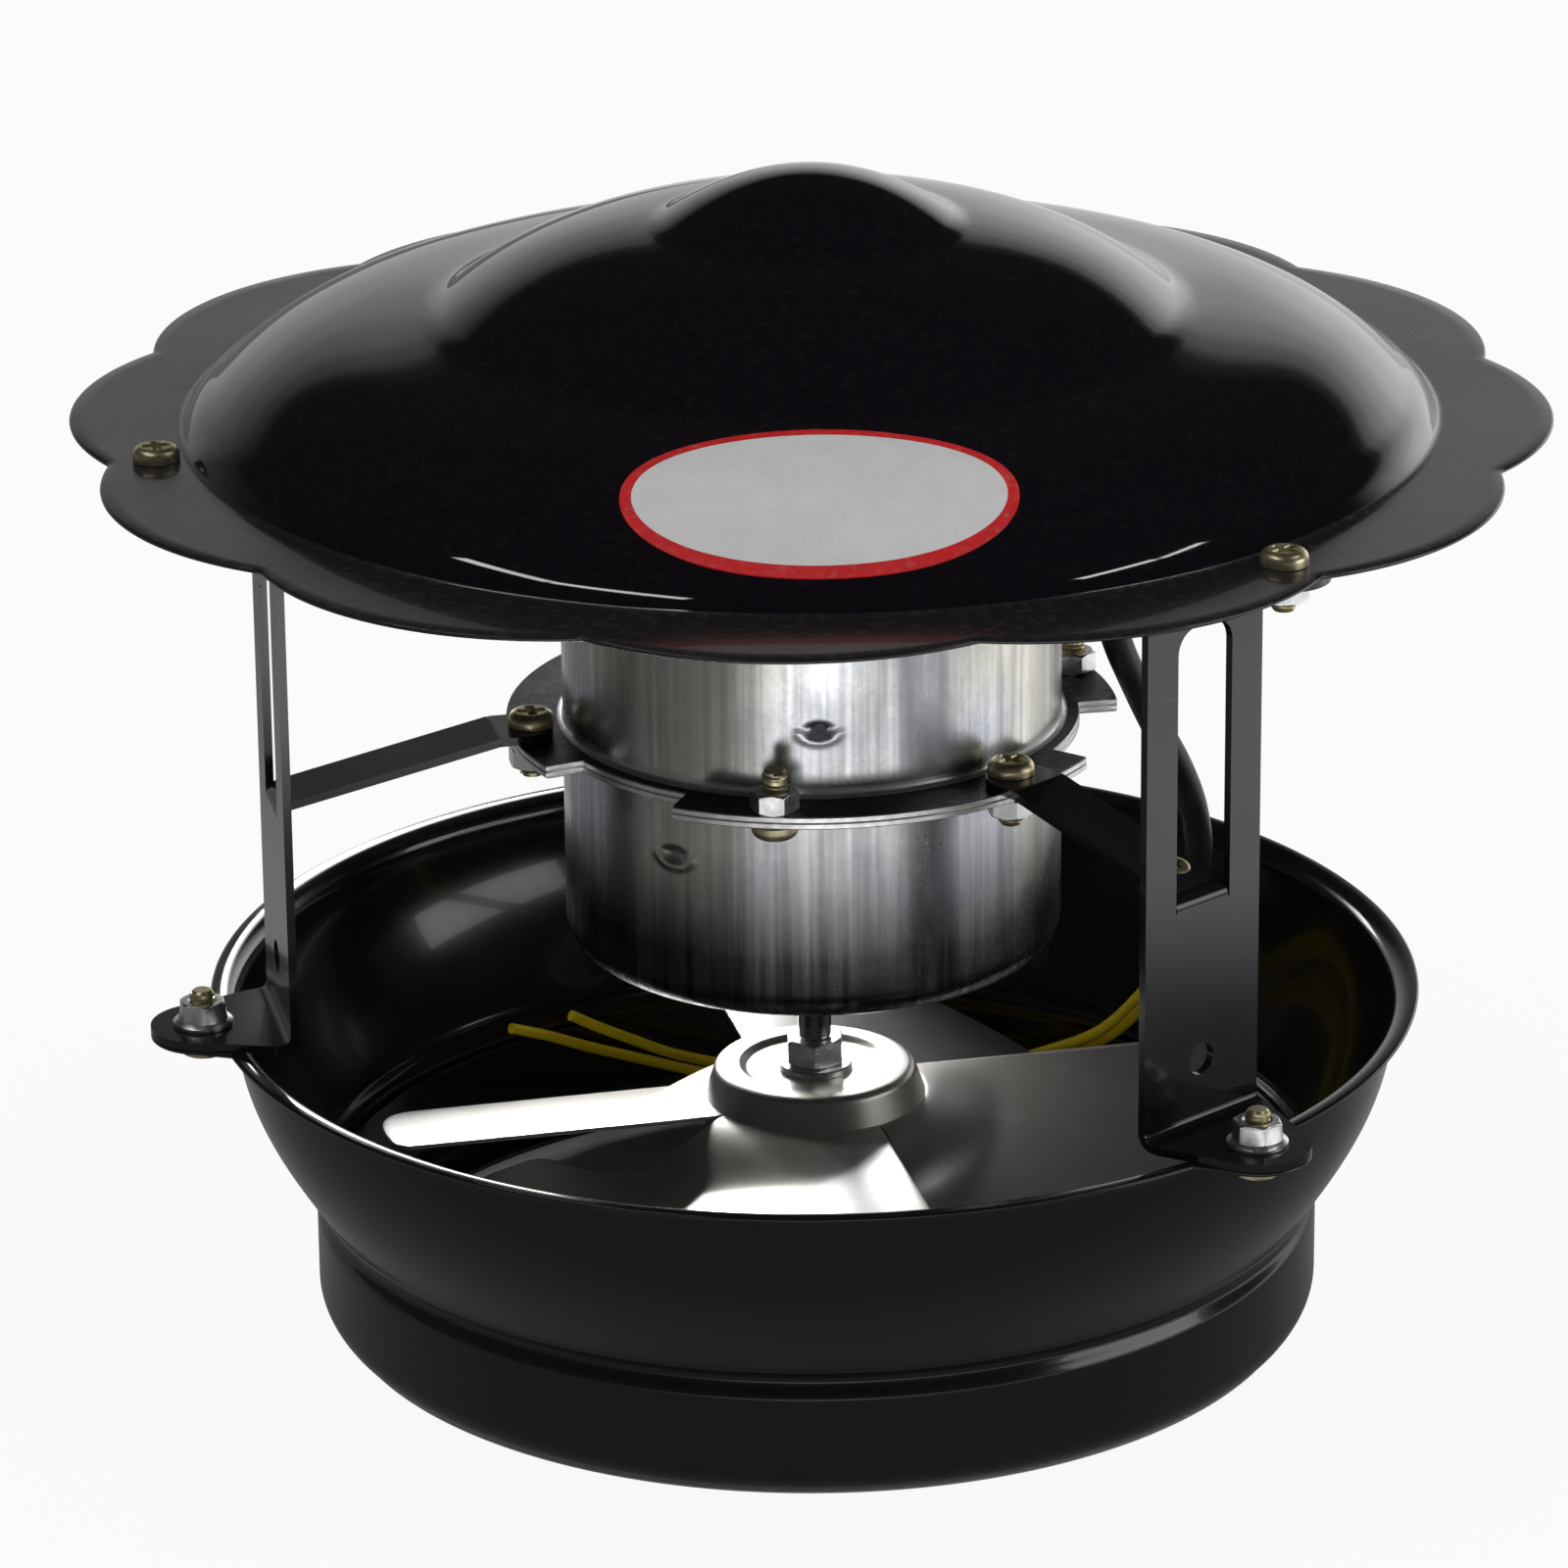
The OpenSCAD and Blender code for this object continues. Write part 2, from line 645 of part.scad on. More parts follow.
module bearing_outer_upper() {
    color("#b8b8bc") translate([0, 0, bearing_high_z])
        bearing_ring(ball_pcr + race_gap, bearing_r);
}

module bearing_inner_upper() {
    color("#c2c2c6") translate([0, 0, bearing_high_z])
        bearing_ring(shaft_r + shaft_clear, ball_pcr - race_gap);
}

module bearing_balls() {
    color("#dcdce0") for (z = [bearing_low_z, bearing_high_z]) {
        for (i = [0:ball_count - 1]) {
            rotate([0, 0, i * 360 / ball_count])
                translate([ball_pcr, 0, z + bearing_w / 2]) sphere(r = ball_r, $fn = 32);
        }
    }
}

// One blade: a sector of a thin curved sheet, pitched and falling outwards
module blade() {
    half = blade_angle / 2;
    intersection() {
        translate([0, 0, blade_root_z]) rotate([blade_pitch, blade_fall, 0])
            translate([-10, 0, -blade_curve_r]) rotate([0, 90, 0]) difference() {
                cylinder(r = blade_curve_r, h = fan_r + 30, $fn = 256);
                translate([0, 0, -1])
                    cylinder(r = blade_curve_r - fan_t, h = fan_r + 32, $fn = 256);
            }
        difference() {
            rod(fan_r, 0, hub_z + 30);
            rod(skirt_r - 1.2, -1, hub_z + 31);
        }
        linear_extrude(hub_z + 20)
            polygon([[4 * cos(half), 8 * sin(half)],
                     [fan_r * 1.3 * cos(half + 3), fan_r * 1.3 * sin(half + 3)],
                     [fan_r * 1.6, 0],
                     [fan_r * cos(8 - half), fan_r * sin(8 - half)],
                     [fan_r * 0.8 * cos(half), -fan_r * 0.8 * sin(half)],
                     [4 * cos(half), -8 * sin(half)]]);
    }
}

// Pressed hub: dish, raised ring and a sloping skirt down to the blade roots
module fan_hub() {
    outline = [[0, dish_z], [dish_r, dish_z], [dish_r + 1.6, hub_z], [hub_r - 1.5, hub_z],
               [hub_r, hub_z - 1], [skirt_r, skirt_z]];
    difference() {
        rotate_extrude() polygon(concat(outline, reversed(moved(outline, -fan_t))));
        rod(shaft_r + shaft_clear, dish_z - 5, hub_z + 5);
    }
}

module fan() {
    color("#b9b7ad") union() {
        fan_hub();
        for (i = [0:blades - 1]) {
            rotate([0, 0, blade_az + i * 360 / blades]) blade();
        }
    }
}

module fan_washers() {
    color("#d6d6d2") for (z = [dish_z, dish_z - fan_t - washer_t]) {
        difference() {
            rod(washer_r, z, z + washer_t);
            rod(shaft_r + thread_clear, z - 1, z + washer_t + 1);
        }
    }
}

module fan_nuts() {
    color("#e2e2de") for (z = [dish_z + washer_t, dish_z - fan_t - washer_t - m8_nut_h]) {
        translate([0, 0, z]) hex_nut(m8_nut_r, m8_nut_h, shaft_r + thread_clear);
    }
}

// Pan-head screws down through the brim and the leg's upper tab
module cap_screws() {
    color("#c8b45c") at_legs() translate([brim_pcr, 0, 0]) union() {
        translate([0, 0, brim_z]) pan_head(m6_pan_r, m6_pan_h);
        rod(m6_r, top_tab_z - m6_nut_h - m6_end / 2, brim_z);
    }
}

module cap_nuts() {
    color("#e2e2de") at_legs() translate([brim_pcr, 0, top_tab_z - m6_nut_h])
        hex_nut(m6_nut_r, m6_nut_h, m6_r + thread_clear);
}

// Hexagon bolts up through the lug and the leg's foot tab
module foot_bolts() {
    color("#c8b45c") at_legs() translate([foot_pcr, 0, 0]) union() {
        translate([0, 0, rim_z - basin_t - hex_head_h])
            rotate([0, 0, 30]) cylinder(r = m6_nut_r, h = hex_head_h, $fn = 6);
        rod(m6_r, rim_z - basin_t - hex_head_h / 2, tab_top_z + flange_nut_h + 2.6);
    }
}

module foot_flange_nuts() {
    color("#e6e6e2") at_legs() translate([foot_pcr, 0, tab_top_z]) difference() {
        union() {
            cylinder(r = flange_nut_r, h = flange_nut_skirt);
            rotate([0, 0, 30]) cylinder(r = m6_nut_r, h = flange_nut_h, $fn = 6);
        }
        rod(m6_r + thread_clear, -1, flange_nut_h + 1);
    }
}

// Pan-head screws down through each arm and the two flanges
module arm_screws() {
    color("#c8b45c") at_legs() translate([lobe_pcr, 0, 0]) union() {
        translate([0, 0, arm_top_z]) pan_head(m6_pan_r, m6_pan_h);
        rod(m6_r, lower_flange_z - m6_nut_h - m6_end / 2, arm_top_z);
    }
}

module arm_nuts() {
    color("#e2e2de") at_legs() translate([lobe_pcr, 0, lower_flange_z - m6_nut_h])
        hex_nut(m6_nut_r, m6_nut_h, m6_r + thread_clear);
}

// Pan-head screws up through the two flanges, nuts on top
module shell_screws() {
    color("#c8b45c") at_legs() rotate([0, 0, -lobe_bolt_angle])
        translate([lobe_pcr, 0, 0]) union() {
            translate([0, 0, lower_flange_z]) mirror([0, 0, 1]) pan_head(m6_pan_r, m6_pan_h);
            rod(m6_r, lower_flange_z, upper_flange_z + m6_nut_h + m6_end);
        }
}

module shell_nuts() {
    color("#e2e2de") at_legs() rotate([0, 0, -lobe_bolt_angle])
        translate([lobe_pcr, 0, upper_flange_z])
        hex_nut(m6_nut_r, m6_nut_h, m6_r + thread_clear);
}

module earth_screw() {
    color("#c8b45c") at_earth() union() {
        pan_head(m4_pan_r, m4_pan_h);
        rod(m4_r, -leg_t - m4_nut_h - 3, 0);
    }
}

module earth_nut() {
    color("#e2e2de") at_earth() translate([0, 0, -leg_t - m4_nut_h - 0.1])
        hex_nut(m4_nut_r, m4_nut_h, m4_r + thread_clear);
}

// Rubber grommet in the top of the upper shell
module cable_grommet() {
    color("#18181a") translate([grommet_x, 0, 0]) difference() {
        union() {
            rod(grommet_r, shell_high_z, shell_high_z + grommet_h);
            rod(sleeve_r + 1.5, shell_high_z - shell_t, shell_high_z);
        }
        rod(sleeve_r + 0.05, shell_high_z - shell_t - 1, shell_high_z + grommet_h + 1);
    }
}

// Plain tube swept along a hand-chosen route
function unit(v) = v / norm(v);
function run_at(p, i) = unit(p[min(i + 1, len(p) - 1)] - p[max(i - 1, 0)]);
function carried(v, t) = unit(v - (v * t) * t);
function frames(p, i = 0, v = [0, 1, 0.1]) =
    i >= len(p) ? [] : let (u = carried(v, run_at(p, i))) concat([u], frames(p, i + 1, u));

module tube(p, r, sides) {
    f = frames(p);
    rings = [for (i = [0:len(p) - 1])
        let (t = run_at(p, i), u = f[i], w = cross(t, u))
        for (k = [0:sides - 1]) p[i] + r * (cos(k * 360 / sides) * u + sin(k * 360 / sides) * w)];
    skin = [for (i = [0:len(p) - 2]) for (k = [0:sides - 1])
        [i * sides + k, (i + 1) * sides + k, (i + 1) * sides + (k + 1) % sides,
         i * sides + (k + 1) % sides]];
    polyhedron(rings, concat([[for (k = [0:sides - 1]) k]], skin,
        [[for (k = [sides - 1:-1:0]) (len(p) - 1) * sides + k]]));
}

module cable_sleeve() {
    color("#151517") tube(sleeve_route, sleeve_r, sleeve_sides);
}

module lead_outer() {
    color("#e0c21c") tube(lead_outer_route, lead_r, lead_sides);
}

module lead_inner() {
    color("#e0c21c") tube(lead_inner_route, lead_r, lead_sides);
}

basin();
cap();
rating_label();
leg_with_earth();  // leg_right
leg(1);  // leg_rear
leg(2);  // leg_left
motor_shell_lower();
motor_shell_upper();
stator_core();
stator_windings();
rotor_core();
shaft();
bearing_outer_lower();
bearing_inner_lower();
bearing_outer_upper();
bearing_inner_upper();
bearing_balls();
fan();
fan_washers();
fan_nuts();
cap_screws();
cap_nuts();
foot_bolts();
foot_flange_nuts();
arm_screws();
arm_nuts();
shell_screws();
shell_nuts();
earth_screw();
earth_nut();
cable_grommet();
cable_sleeve();
lead_outer();
lead_inner();
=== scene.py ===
"""Looks of a chimney draught fan, built around its fixed frame.

The sizes are in millimetres, as in the part, and MM turns them into metres where a mesh is made.
Azimuths are in degrees from +X, anticlockwise seen from above, and the label is at the front, at -Y.
"""
from __future__ import annotations

import logging
import math
from dataclasses import dataclass, field
from enum import Enum
from typing import Callable, Iterable, Sequence

import bmesh
import bpy
from mathutils import Matrix, Vector, noise

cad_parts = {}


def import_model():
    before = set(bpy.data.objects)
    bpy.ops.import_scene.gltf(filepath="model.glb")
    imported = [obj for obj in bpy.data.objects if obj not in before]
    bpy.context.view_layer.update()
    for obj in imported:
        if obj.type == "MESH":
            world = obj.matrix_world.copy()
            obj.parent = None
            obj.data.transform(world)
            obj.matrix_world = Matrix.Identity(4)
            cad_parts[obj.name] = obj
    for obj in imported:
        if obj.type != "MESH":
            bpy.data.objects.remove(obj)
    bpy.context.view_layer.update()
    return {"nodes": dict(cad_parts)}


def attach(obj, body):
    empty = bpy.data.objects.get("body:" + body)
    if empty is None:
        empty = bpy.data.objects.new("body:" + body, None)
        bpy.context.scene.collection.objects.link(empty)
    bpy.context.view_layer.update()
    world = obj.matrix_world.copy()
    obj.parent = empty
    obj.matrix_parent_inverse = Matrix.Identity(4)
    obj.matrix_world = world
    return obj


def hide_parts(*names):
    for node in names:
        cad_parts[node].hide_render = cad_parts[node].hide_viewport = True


MM = 0.001
LOG = logging.getLogger("draught_fan")

Point2 = tuple[float, float]
RadiusRule = Callable[[float], float]


class Body(Enum):
    """The two bodies of the part."""

    FRAME = "frame"
    ROTOR = "rotor"


# Outlines


def arc(centre: Point2, radius: float, start: float, end: float, steps: int) -> list[Point2]:
    """Points on an arc.

    Args:
        centre: The arc's centre.
        radius: Its radius.
        start: The first angle in degrees.
        end: The last angle in degrees.
        steps: How many chords it has.

    Returns:
        steps + 1 points from start to end.
    """
    turns = [math.radians(start + (end - start) * i / steps) for i in range(steps + 1)]
    return [(centre[0] + radius * math.cos(a), centre[1] + radius * math.sin(a)) for a in turns]


def cubic(a: Point2, slope_a: float, b: Point2, slope_b: float, steps: int) -> list[Point2]:
    """Points on a cubic from a up to, but without, b.

    Args:
        a: The first point.
        slope_a: The slope at a.
        b: The end point, which is left to the next stretch.
        slope_b: The slope at b.
        steps: How many points are made.

    Returns:
        The points, with the first coordinate in equal steps.
    """
    width = b[0] - a[0]
    points = []
    for i in range(steps):
        t = i / steps
        from_a = (2 * t**3 - 3 * t**2 + 1) * a[1] + (t**3 - 2 * t**2 + t) * width * slope_a
        from_b = (3 * t**2 - 2 * t**3) * b[1] + (t**3 - t**2) * width * slope_b
        points.append((a[0] + t * width, from_a + from_b))
    return points


def moved(points: Sequence[Point2], offset: float) -> list[Point2]:
    """An open outline moved sideways, to the left of its run, and kept off the far side of the axis.

    Args:
        points: The outline.
        offset: How far it moves.

    Returns:
        The moved outline, with as many points.
    """
    result = []
    last = len(points) - 1
    for i, (x, z) in enumerate(points):
        ax, az = points[max(i - 1, 0)]
        bx, bz = points[min(i + 1, last)]
        length = math.hypot(bx - ax, bz - az)
        result.append((max(x - offset * (bz - az) / length, 0.0), z + offset * (bx - ax) / length))
    return result


def smoothstep(low: float, high: float, value: float) -> float:
    """A soft step from 0 at low to 1 at high."""
    t = min(max((value - low) / (high - low), 0.0), 1.0)
    return t * t * (3 - 2 * t)


class RoundedPath:
    """A polyline in a plane with one bend radius at all its corners, read by its length."""

    def __init__(self, corners: Sequence[Point2], radius: float, rows: int = 8) -> None:
        """Lays the path out.

        Args:
            corners: The polyline's points.
            radius: The bend radius.
            rows: How many steps each bend has.
        """
        self.points: list[Vector] = [Vector(corners[0])]
        self.bend_rows: list[float] = []
        spans = []
        for before, corner, after in zip(corners, corners[1:], corners[2:]):
            a = (Vector(before) - Vector(corner)).normalized()
            b = (Vector(after) - Vector(corner)).normalized()
            half = a.angle(b) / 2
            reach = radius / math.tan(half)
            middle = Vector(corner) + (a + b).normalized() * radius / math.sin(half)
            start = Vector(corner) + a * reach
            turn = math.pi - 2 * half
            sign = 1.0 if a.x * b.y - a.y * b.x < 0 else -1.0
            spans.append((len(self.points), len(self.points) + rows))
            for i in range(rows + 1):
                arm = (start - middle).to_3d()
                arm.rotate(Matrix.Rotation(sign * turn * i / rows, 3, "Z"))
                self.points.append(middle + arm.to_2d())
        self.points.append(Vector(corners[-1]))
        self.marks = [0.0]
        for p, q in zip(self.points, self.points[1:]):
            self.marks.append(self.marks[-1] + (q - p).length)
        for first, last in spans:
            self.bend_rows += self.marks[first:last + 1]

    @property
    def length(self) -> float:
        """The whole length."""
        return self.marks[-1]

    def at(self, distance: float) -> Vector:
        """The point at a distance along the path, which runs straight on past its ends."""
        index = 0
        while index < len(self.marks) - 2 and self.marks[index + 1] < distance:
            index += 1
        p, q = self.points[index], self.points[index + 1]
        return p + (q - p) * (distance - self.marks[index]) / (self.marks[index + 1] - self.marks[index])

    def mark_at(self, axis: int, value: float) -> float:
        """The first distance at which a coordinate reaches a value.

        Args:
            axis: 0 or 1, the coordinate.
            value: The value that it reaches.

        Returns:
            The distance along the path.
        """
        for (p, q), mark in zip(zip(self.points, self.points[1:]), self.marks):
            low, high = sorted((p[axis], q[axis]))
            if high - low > 1e-6 and low <= value <= high:
                return mark + (q - p).length * abs(value - p[axis]) / (high - low)
        raise ValueError(f"the path never reaches {value}")


# Meshes


def add_object(name: str, mesh: bpy.types.Mesh) -> bpy.types.Object:
    """Links a new object that shows a mesh, at the origin."""
    piece = bpy.data.objects.new(name, mesh)
    bpy.context.scene.collection.objects.link(piece)
    return piece


def smooth(mesh: bpy.types.Mesh, angle: float = 35.0) -> None:
    """Shades a mesh smooth, with sharp edges past an angle in degrees."""
    mesh.polygons.foreach_set("use_smooth", [True] * len(mesh.polygons))
    mesh.set_sharp_from_angle(angle=math.radians(angle))


class RingStack:
    """A closed sheet made of rings about Z, whose radii may change with the azimuth."""

    def __init__(self, azimuths: Sequence[float]) -> None:
        """Starts an empty stack.

        Args:
            azimuths: The azimuths in degrees at which every ring has a point.
        """
        self.azimuths = list(azimuths)
        self.rings: list[tuple[RadiusRule, float]] = []

    def add(self, radius: float | RadiusRule, z: float) -> None:
        """Adds one ring."""
        rule = radius if callable(radius) else (lambda _azimuth, value=radius: value)
        self.rings.append((rule, z))

    def add_outline(self, outline: Iterable[Point2]) -> None:
        """Adds one round ring for each point of an outline."""
        for r, z in outline:
            self.add(r, z)

    def build(self, name: str, closed: bool, shift: Callable[[Vector], Vector] | None = None,
              angle: float = 35.0) -> bpy.types.Object:
        """Makes the mesh.

        Args:
            name: The object's name.
            closed: Whether the last ring joins the first one.
            shift: Moves each finished point, in millimetres.
            angle: The sharp angle in degrees.

        Returns:
            The new object.
        """
        count = len(self.azimuths)
        turns = [(math.cos(math.radians(a)), math.sin(math.radians(a))) for a in self.azimuths]
        points = []
        for rule, z in self.rings:
            for azimuth, (cos_a, sin_a) in zip(self.azimuths, turns):
                radius = rule(azimuth)
                point = Vector((radius * cos_a, radius * sin_a, z))
                points.append((shift(point) if shift else point) * MM)
        pairs = list(zip(range(len(self.rings)), range(1, len(self.rings))))
        if closed:
            pairs.append((len(self.rings) - 1, 0))
        faces = [(i * count + k, j * count + k, j * count + (k + 1) % count, i * count + (k + 1) % count)
                 for i, j in pairs for k in range(count)]
        mesh = bpy.data.meshes.new(name)
        mesh.from_pydata(points, [], faces)
        close_mesh(mesh)
        smooth(mesh, angle)
        return add_object(name, mesh)


def close_mesh(mesh: bpy.types.Mesh) -> None:
    """Merges doubles, drops flat faces and turns every face outwards."""
    work = bmesh.new()
    work.from_mesh(mesh)
    bmesh.ops.remove_doubles(work, verts=work.verts, dist=1e-7)
    bmesh.ops.dissolve_degenerate(work, edges=work.edges, dist=1e-8)
    bmesh.ops.recalc_face_normals(work, faces=work.faces)
    work.to_mesh(mesh)
    work.free()


def even_azimuths(count: int, start: float = 0.0) -> list[float]:
    """Azimuths in equal steps."""
    return [start + 360 * i / count for i in range(count)]


def finer_near(base: Sequence[float], centres: Iterable[float], reach: float, step: float) -> list[float]:
    """Adds azimuths in small steps around some of them.

    Args:
        base: The azimuths so far.
        centres: Where finer steps are needed.
        reach: How far they go to each side.
        step: Their step.

    Returns:
        All azimuths in order, none closer than a fifth of the step.
    """
    values = [a % 360 for a in base]
    for centre in centres:
        for i in range(int(-reach / step), int(reach / step) + 1):
            values.append((centre + i * step) % 360)
    values.sort()
    kept = [values[0]]
    for value in values[1:]:
        if value - kept[-1] > step / 5:
            kept.append(value)
    return kept


def away(azimuth: float, centre: float) -> float:
    """The signed angle from one azimuth to another, from -180 to 180."""
    return (azimuth - centre + 180) % 360 - 180


def join_meshes(name: str, pieces: Sequence[bpy.types.Object]) -> bpy.types.Object:
    """Joins objects that lie at the origin into one, and removes them.

    Args:
        name: The new object's name.
        pieces: The objects.

    Returns:
        The new object, with the material slots of all of them.
    """
    slots: list[bpy.types.Material] = []
    work = bmesh.new()
    for piece in pieces:
        before = len(work.faces)
        work.from_mesh(piece.data)
        work.faces.ensure_lookup_table()
        places = []
        for material in piece.data.materials:
            if material not in slots:
                slots.append(material)
            places.append(slots.index(material))
        for face in work.faces[before:]:
            face.material_index = places[face.material_index] if places else 0
    mesh = bpy.data.meshes.new(name)
    work.to_mesh(mesh)
    work.free()
    for material in slots:
        mesh.materials.append(material)
    for piece in pieces:
        bpy.data.objects.remove(piece)
    return add_object(name, mesh)


def baked(piece: bpy.types.Object) -> bpy.types.Object:
    """Turns a piece with modifiers into a plain mesh of the same name."""
    graph = bpy.context.evaluated_depsgraph_get()
    graph.update()
    mesh = bpy.data.meshes.new_from_object(piece.evaluated_get(graph))
    name = piece.name
    piece.modifiers.clear()
    old = piece.data
    piece.data = mesh
    mesh.name = name
    bpy.data.meshes.remove(old)
    return piece


class SheetBlank:
    """A flat cut-out of sheet that is scored and bent, and then given its thickness."""

    def __init__(self) -> None:
        """Starts with an empty sheet."""
        self.work = bmesh.new()

    def cut(self, loop: Sequence[Point2]) -> None:
        """Adds a closed outline or a hole."""
        corners = [self.work.verts.new((x, y, 0.0)) for x, y in loop]
        for a, b in zip(corners, corners[1:] + corners[:1]):
            self.work.edges.new((a, b))

    def fill(self) -> None:
        """Fills the sheet between its outline and its holes."""
        bmesh.ops.triangle_fill(self.work, use_beauty=True, edges=self.work.edges[:])

    def score(self, places: Iterable[float]) -> None:
        """Splits the sheet along lines across its length."""
        for place in places:
            geometry = self.work.verts[:] + self.work.edges[:] + self.work.faces[:]
            bmesh.ops.bisect_plane(self.work, geom=geometry, dist=1e-4,
                                   plane_co=(place, 0, 0), plane_no=(1, 0, 0))

    def bend(self, rule: Callable[[float, float], Vector]) -> None:
        """Moves every point to its place on the bent sheet, in millimetres."""
        for vert in self.work.verts:
            vert.co = rule(vert.co.x, vert.co.y)

    def build(self, name: str, thickness: float, edge: float) -> bpy.types.Object:
        """Makes the finished sheet.

        Args:
            name: The object's name.
            thickness: The sheet's thickness in millimetres.
            edge: The width of its rounded edges.

        Returns:
            The new object.
        """
        for vert in self.work.verts:
            vert.co *= MM
        bmesh.ops.recalc_face_normals(self.work, faces=self.work.faces)
        mesh = bpy.data.meshes.new(name)
        self.work.to_mesh(mesh)
        self.work.free()
        mesh.polygons.foreach_set("use_smooth", [True] * len(mesh.polygons))
        piece = add_object(name, mesh)
        wall = piece.modifiers.new("wall", "SOLIDIFY")
        wall.thickness = thickness * MM
        wall.offset = 0.0
        wall.use_even_offset = True
        bevel = piece.modifiers.new("edge", "BEVEL")
        bevel.width = edge * MM
        bevel.segments = 3
        bevel.limit_method = "ANGLE"
        bevel.angle_limit = math.radians(50)
        even = piece.modifiers.new("normals", "WEIGHTED_NORMAL")
        even.mode = "FACE_AREA"
        even.weight = 60
        even.keep_sharp = True
        return baked(piece)


# Geometry Nodes


class NodeTree:
    """Short calls for building a node tree of any kind."""

    def __init__(self, tree: bpy.types.NodeTree) -> None:
        """Wraps a tree."""
        self.tree = tree

    def node(self, kind: str, **settings: object) -> bpy.types.Node:
        """Adds a node.

        Args:
            kind: Blender's name of the node type.
            **settings: Its properties.

        Returns:
            The node.
        """
        made = self.tree.nodes.new(kind)
        for name, value in settings.items():
            setattr(made, name, value)
        return made

    def feed(self, target: bpy.types.NodeSocket, source: object) -> None:
        """Links a socket, or sets its value."""
        if isinstance(source, bpy.types.NodeSocket):
            self.tree.links.new(source, target)
        else:
            target.default_value = source

    def math(self, operation: str, *values: object) -> bpy.types.NodeSocket:
        """Adds a Math node.

        Args:
            operation: What it does.
            *values: Its inputs, numbers or sockets.

        Returns:
            Its output.
        """
        made = self.node("ShaderNodeMath", operation=operation)
        for socket, value in zip(made.inputs, values):
            self.feed(socket, value)
        return made.outputs[0]

    def input_socket(self, name: str, kind: str, default: object = None) -> None:
        """Adds a named input to the tree."""
        socket = self.tree.interface.new_socket(name, in_out="INPUT", socket_type=kind)
        if default is not None:
            socket.default_value = default

    def output_socket(self, name: str, kind: str) -> None:
        """Adds a named output to the tree."""
        self.tree.interface.new_socket(name, in_out="OUTPUT", socket_type=kind)


class BoltCircle:
    """Geometry Nodes that repeat a shape about Z at a radius, a height and a step."""

    def __init__(self) -> None:
        """Builds the tree."""
        tree = bpy.data.node_groups.new("Bolt circle", "GeometryNodeTree")
        self.tree = tree
        graph = NodeTree(tree)
        graph.output_socket("Geometry", "NodeSocketGeometry")
        graph.input_socket("Shape", "NodeSocketObject")
        graph.input_socket("Count", "NodeSocketInt", 3)
        graph.input_socket("Radius", "NodeSocketFloat", 0.1)
        graph.input_socket("Height", "NodeSocketFloat", 0.0)
        graph.input_socket("Start", "NodeSocketFloat", 0.0)
        graph.input_socket("Step", "NodeSocketFloat", 0.0)
        graph.input_socket("Turned Over", "NodeSocketFloat", 0.0)
        graph.input_socket("Finish", "NodeSocketMaterial")
        given = graph.node("NodeGroupInput").outputs
        points = graph.node("GeometryNodePoints")
        graph.feed(points.inputs["Count"], given["Count"])
        index = graph.node("GeometryNodeInputIndex").outputs[0]
        turn = graph.math("ADD", graph.math("MULTIPLY", index, given["Step"]), given["Start"])
        place = graph.node("ShaderNodeCombineXYZ")
        graph.feed(place.inputs["X"], graph.math("MULTIPLY", graph.math("COSINE", turn), given["Radius"]))
        graph.feed(place.inputs["Y"], graph.math("MULTIPLY", graph.math("SINE", turn), given["Radius"]))
        graph.feed(place.inputs["Z"], given["Height"])
        graph.feed(points.inputs["Position"], place.outputs[0])
        rotation = graph.node("ShaderNodeCombineXYZ")
        graph.feed(rotation.inputs["X"], graph.math("MULTIPLY", given["Turned Over"], math.pi))
        graph.feed(rotation.inputs["Z"], turn)
        shape = graph.node("GeometryNodeObjectInfo")
        graph.feed(shape.inputs["Object"], given["Shape"])
        copies = graph.node("GeometryNodeInstanceOnPoints")
        graph.feed(copies.inputs["Points"], points.outputs[0])
        graph.feed(copies.inputs["Instance"], shape.outputs["Geometry"])
        graph.feed(copies.inputs["Rotation"], rotation.outputs[0])
        real = graph.node("GeometryNodeRealizeInstances")
        graph.feed(real.inputs[0], copies.outputs[0])
        finish = graph.node("GeometryNodeSetMaterial")
        graph.feed(finish.inputs["Geometry"], real.outputs[0])
        graph.feed(finish.inputs["Material"], given["Finish"])
        end = graph.node("NodeGroupOutput")
        graph.feed(end.inputs[0], finish.outputs[0])

    def repeat(self, name: str, shape: bpy.types.Object, finish: bpy.types.Material, *, count: int = 3,
               radius: float = 0.0, height: float = 0.0, start: float = 0.0, step: float = 120.0,
               turned_over: bool = False, keep: bool = False) -> bpy.types.Object:
        """Repeats a shape and gives back a plain mesh.

        Args:
            name: The new object's name.
            shape: The shape, seated at z = 0.
            finish: The material of the copies.
            count: How many copies there are.
            radius: The circle's radius in millimetres.
            height: The circle's height in millimetres.
            start: The first copy's azimuth.
            step: The angle from each copy to the next.
            turned_over: Whether the shape points down.
            keep: Whether the shape is used again and stays.

        Returns:
            The new object.
        """
        piece = add_object(name, bpy.data.meshes.new(name))
        modifier = piece.modifiers.new("copies", "NODES")
        modifier.node_group = self.tree
        values = {"Shape": shape, "Count": count, "Radius": radius * MM, "Height": height * MM,
                  "Start": math.radians(start), "Step": math.radians(step),
                  "Turned Over": 1.0 if turned_over else 0.0, "Finish": finish}
        set_inputs(modifier, values)
        result = baked(piece)
        if not keep:
            bpy.data.objects.remove(shape)
        return result


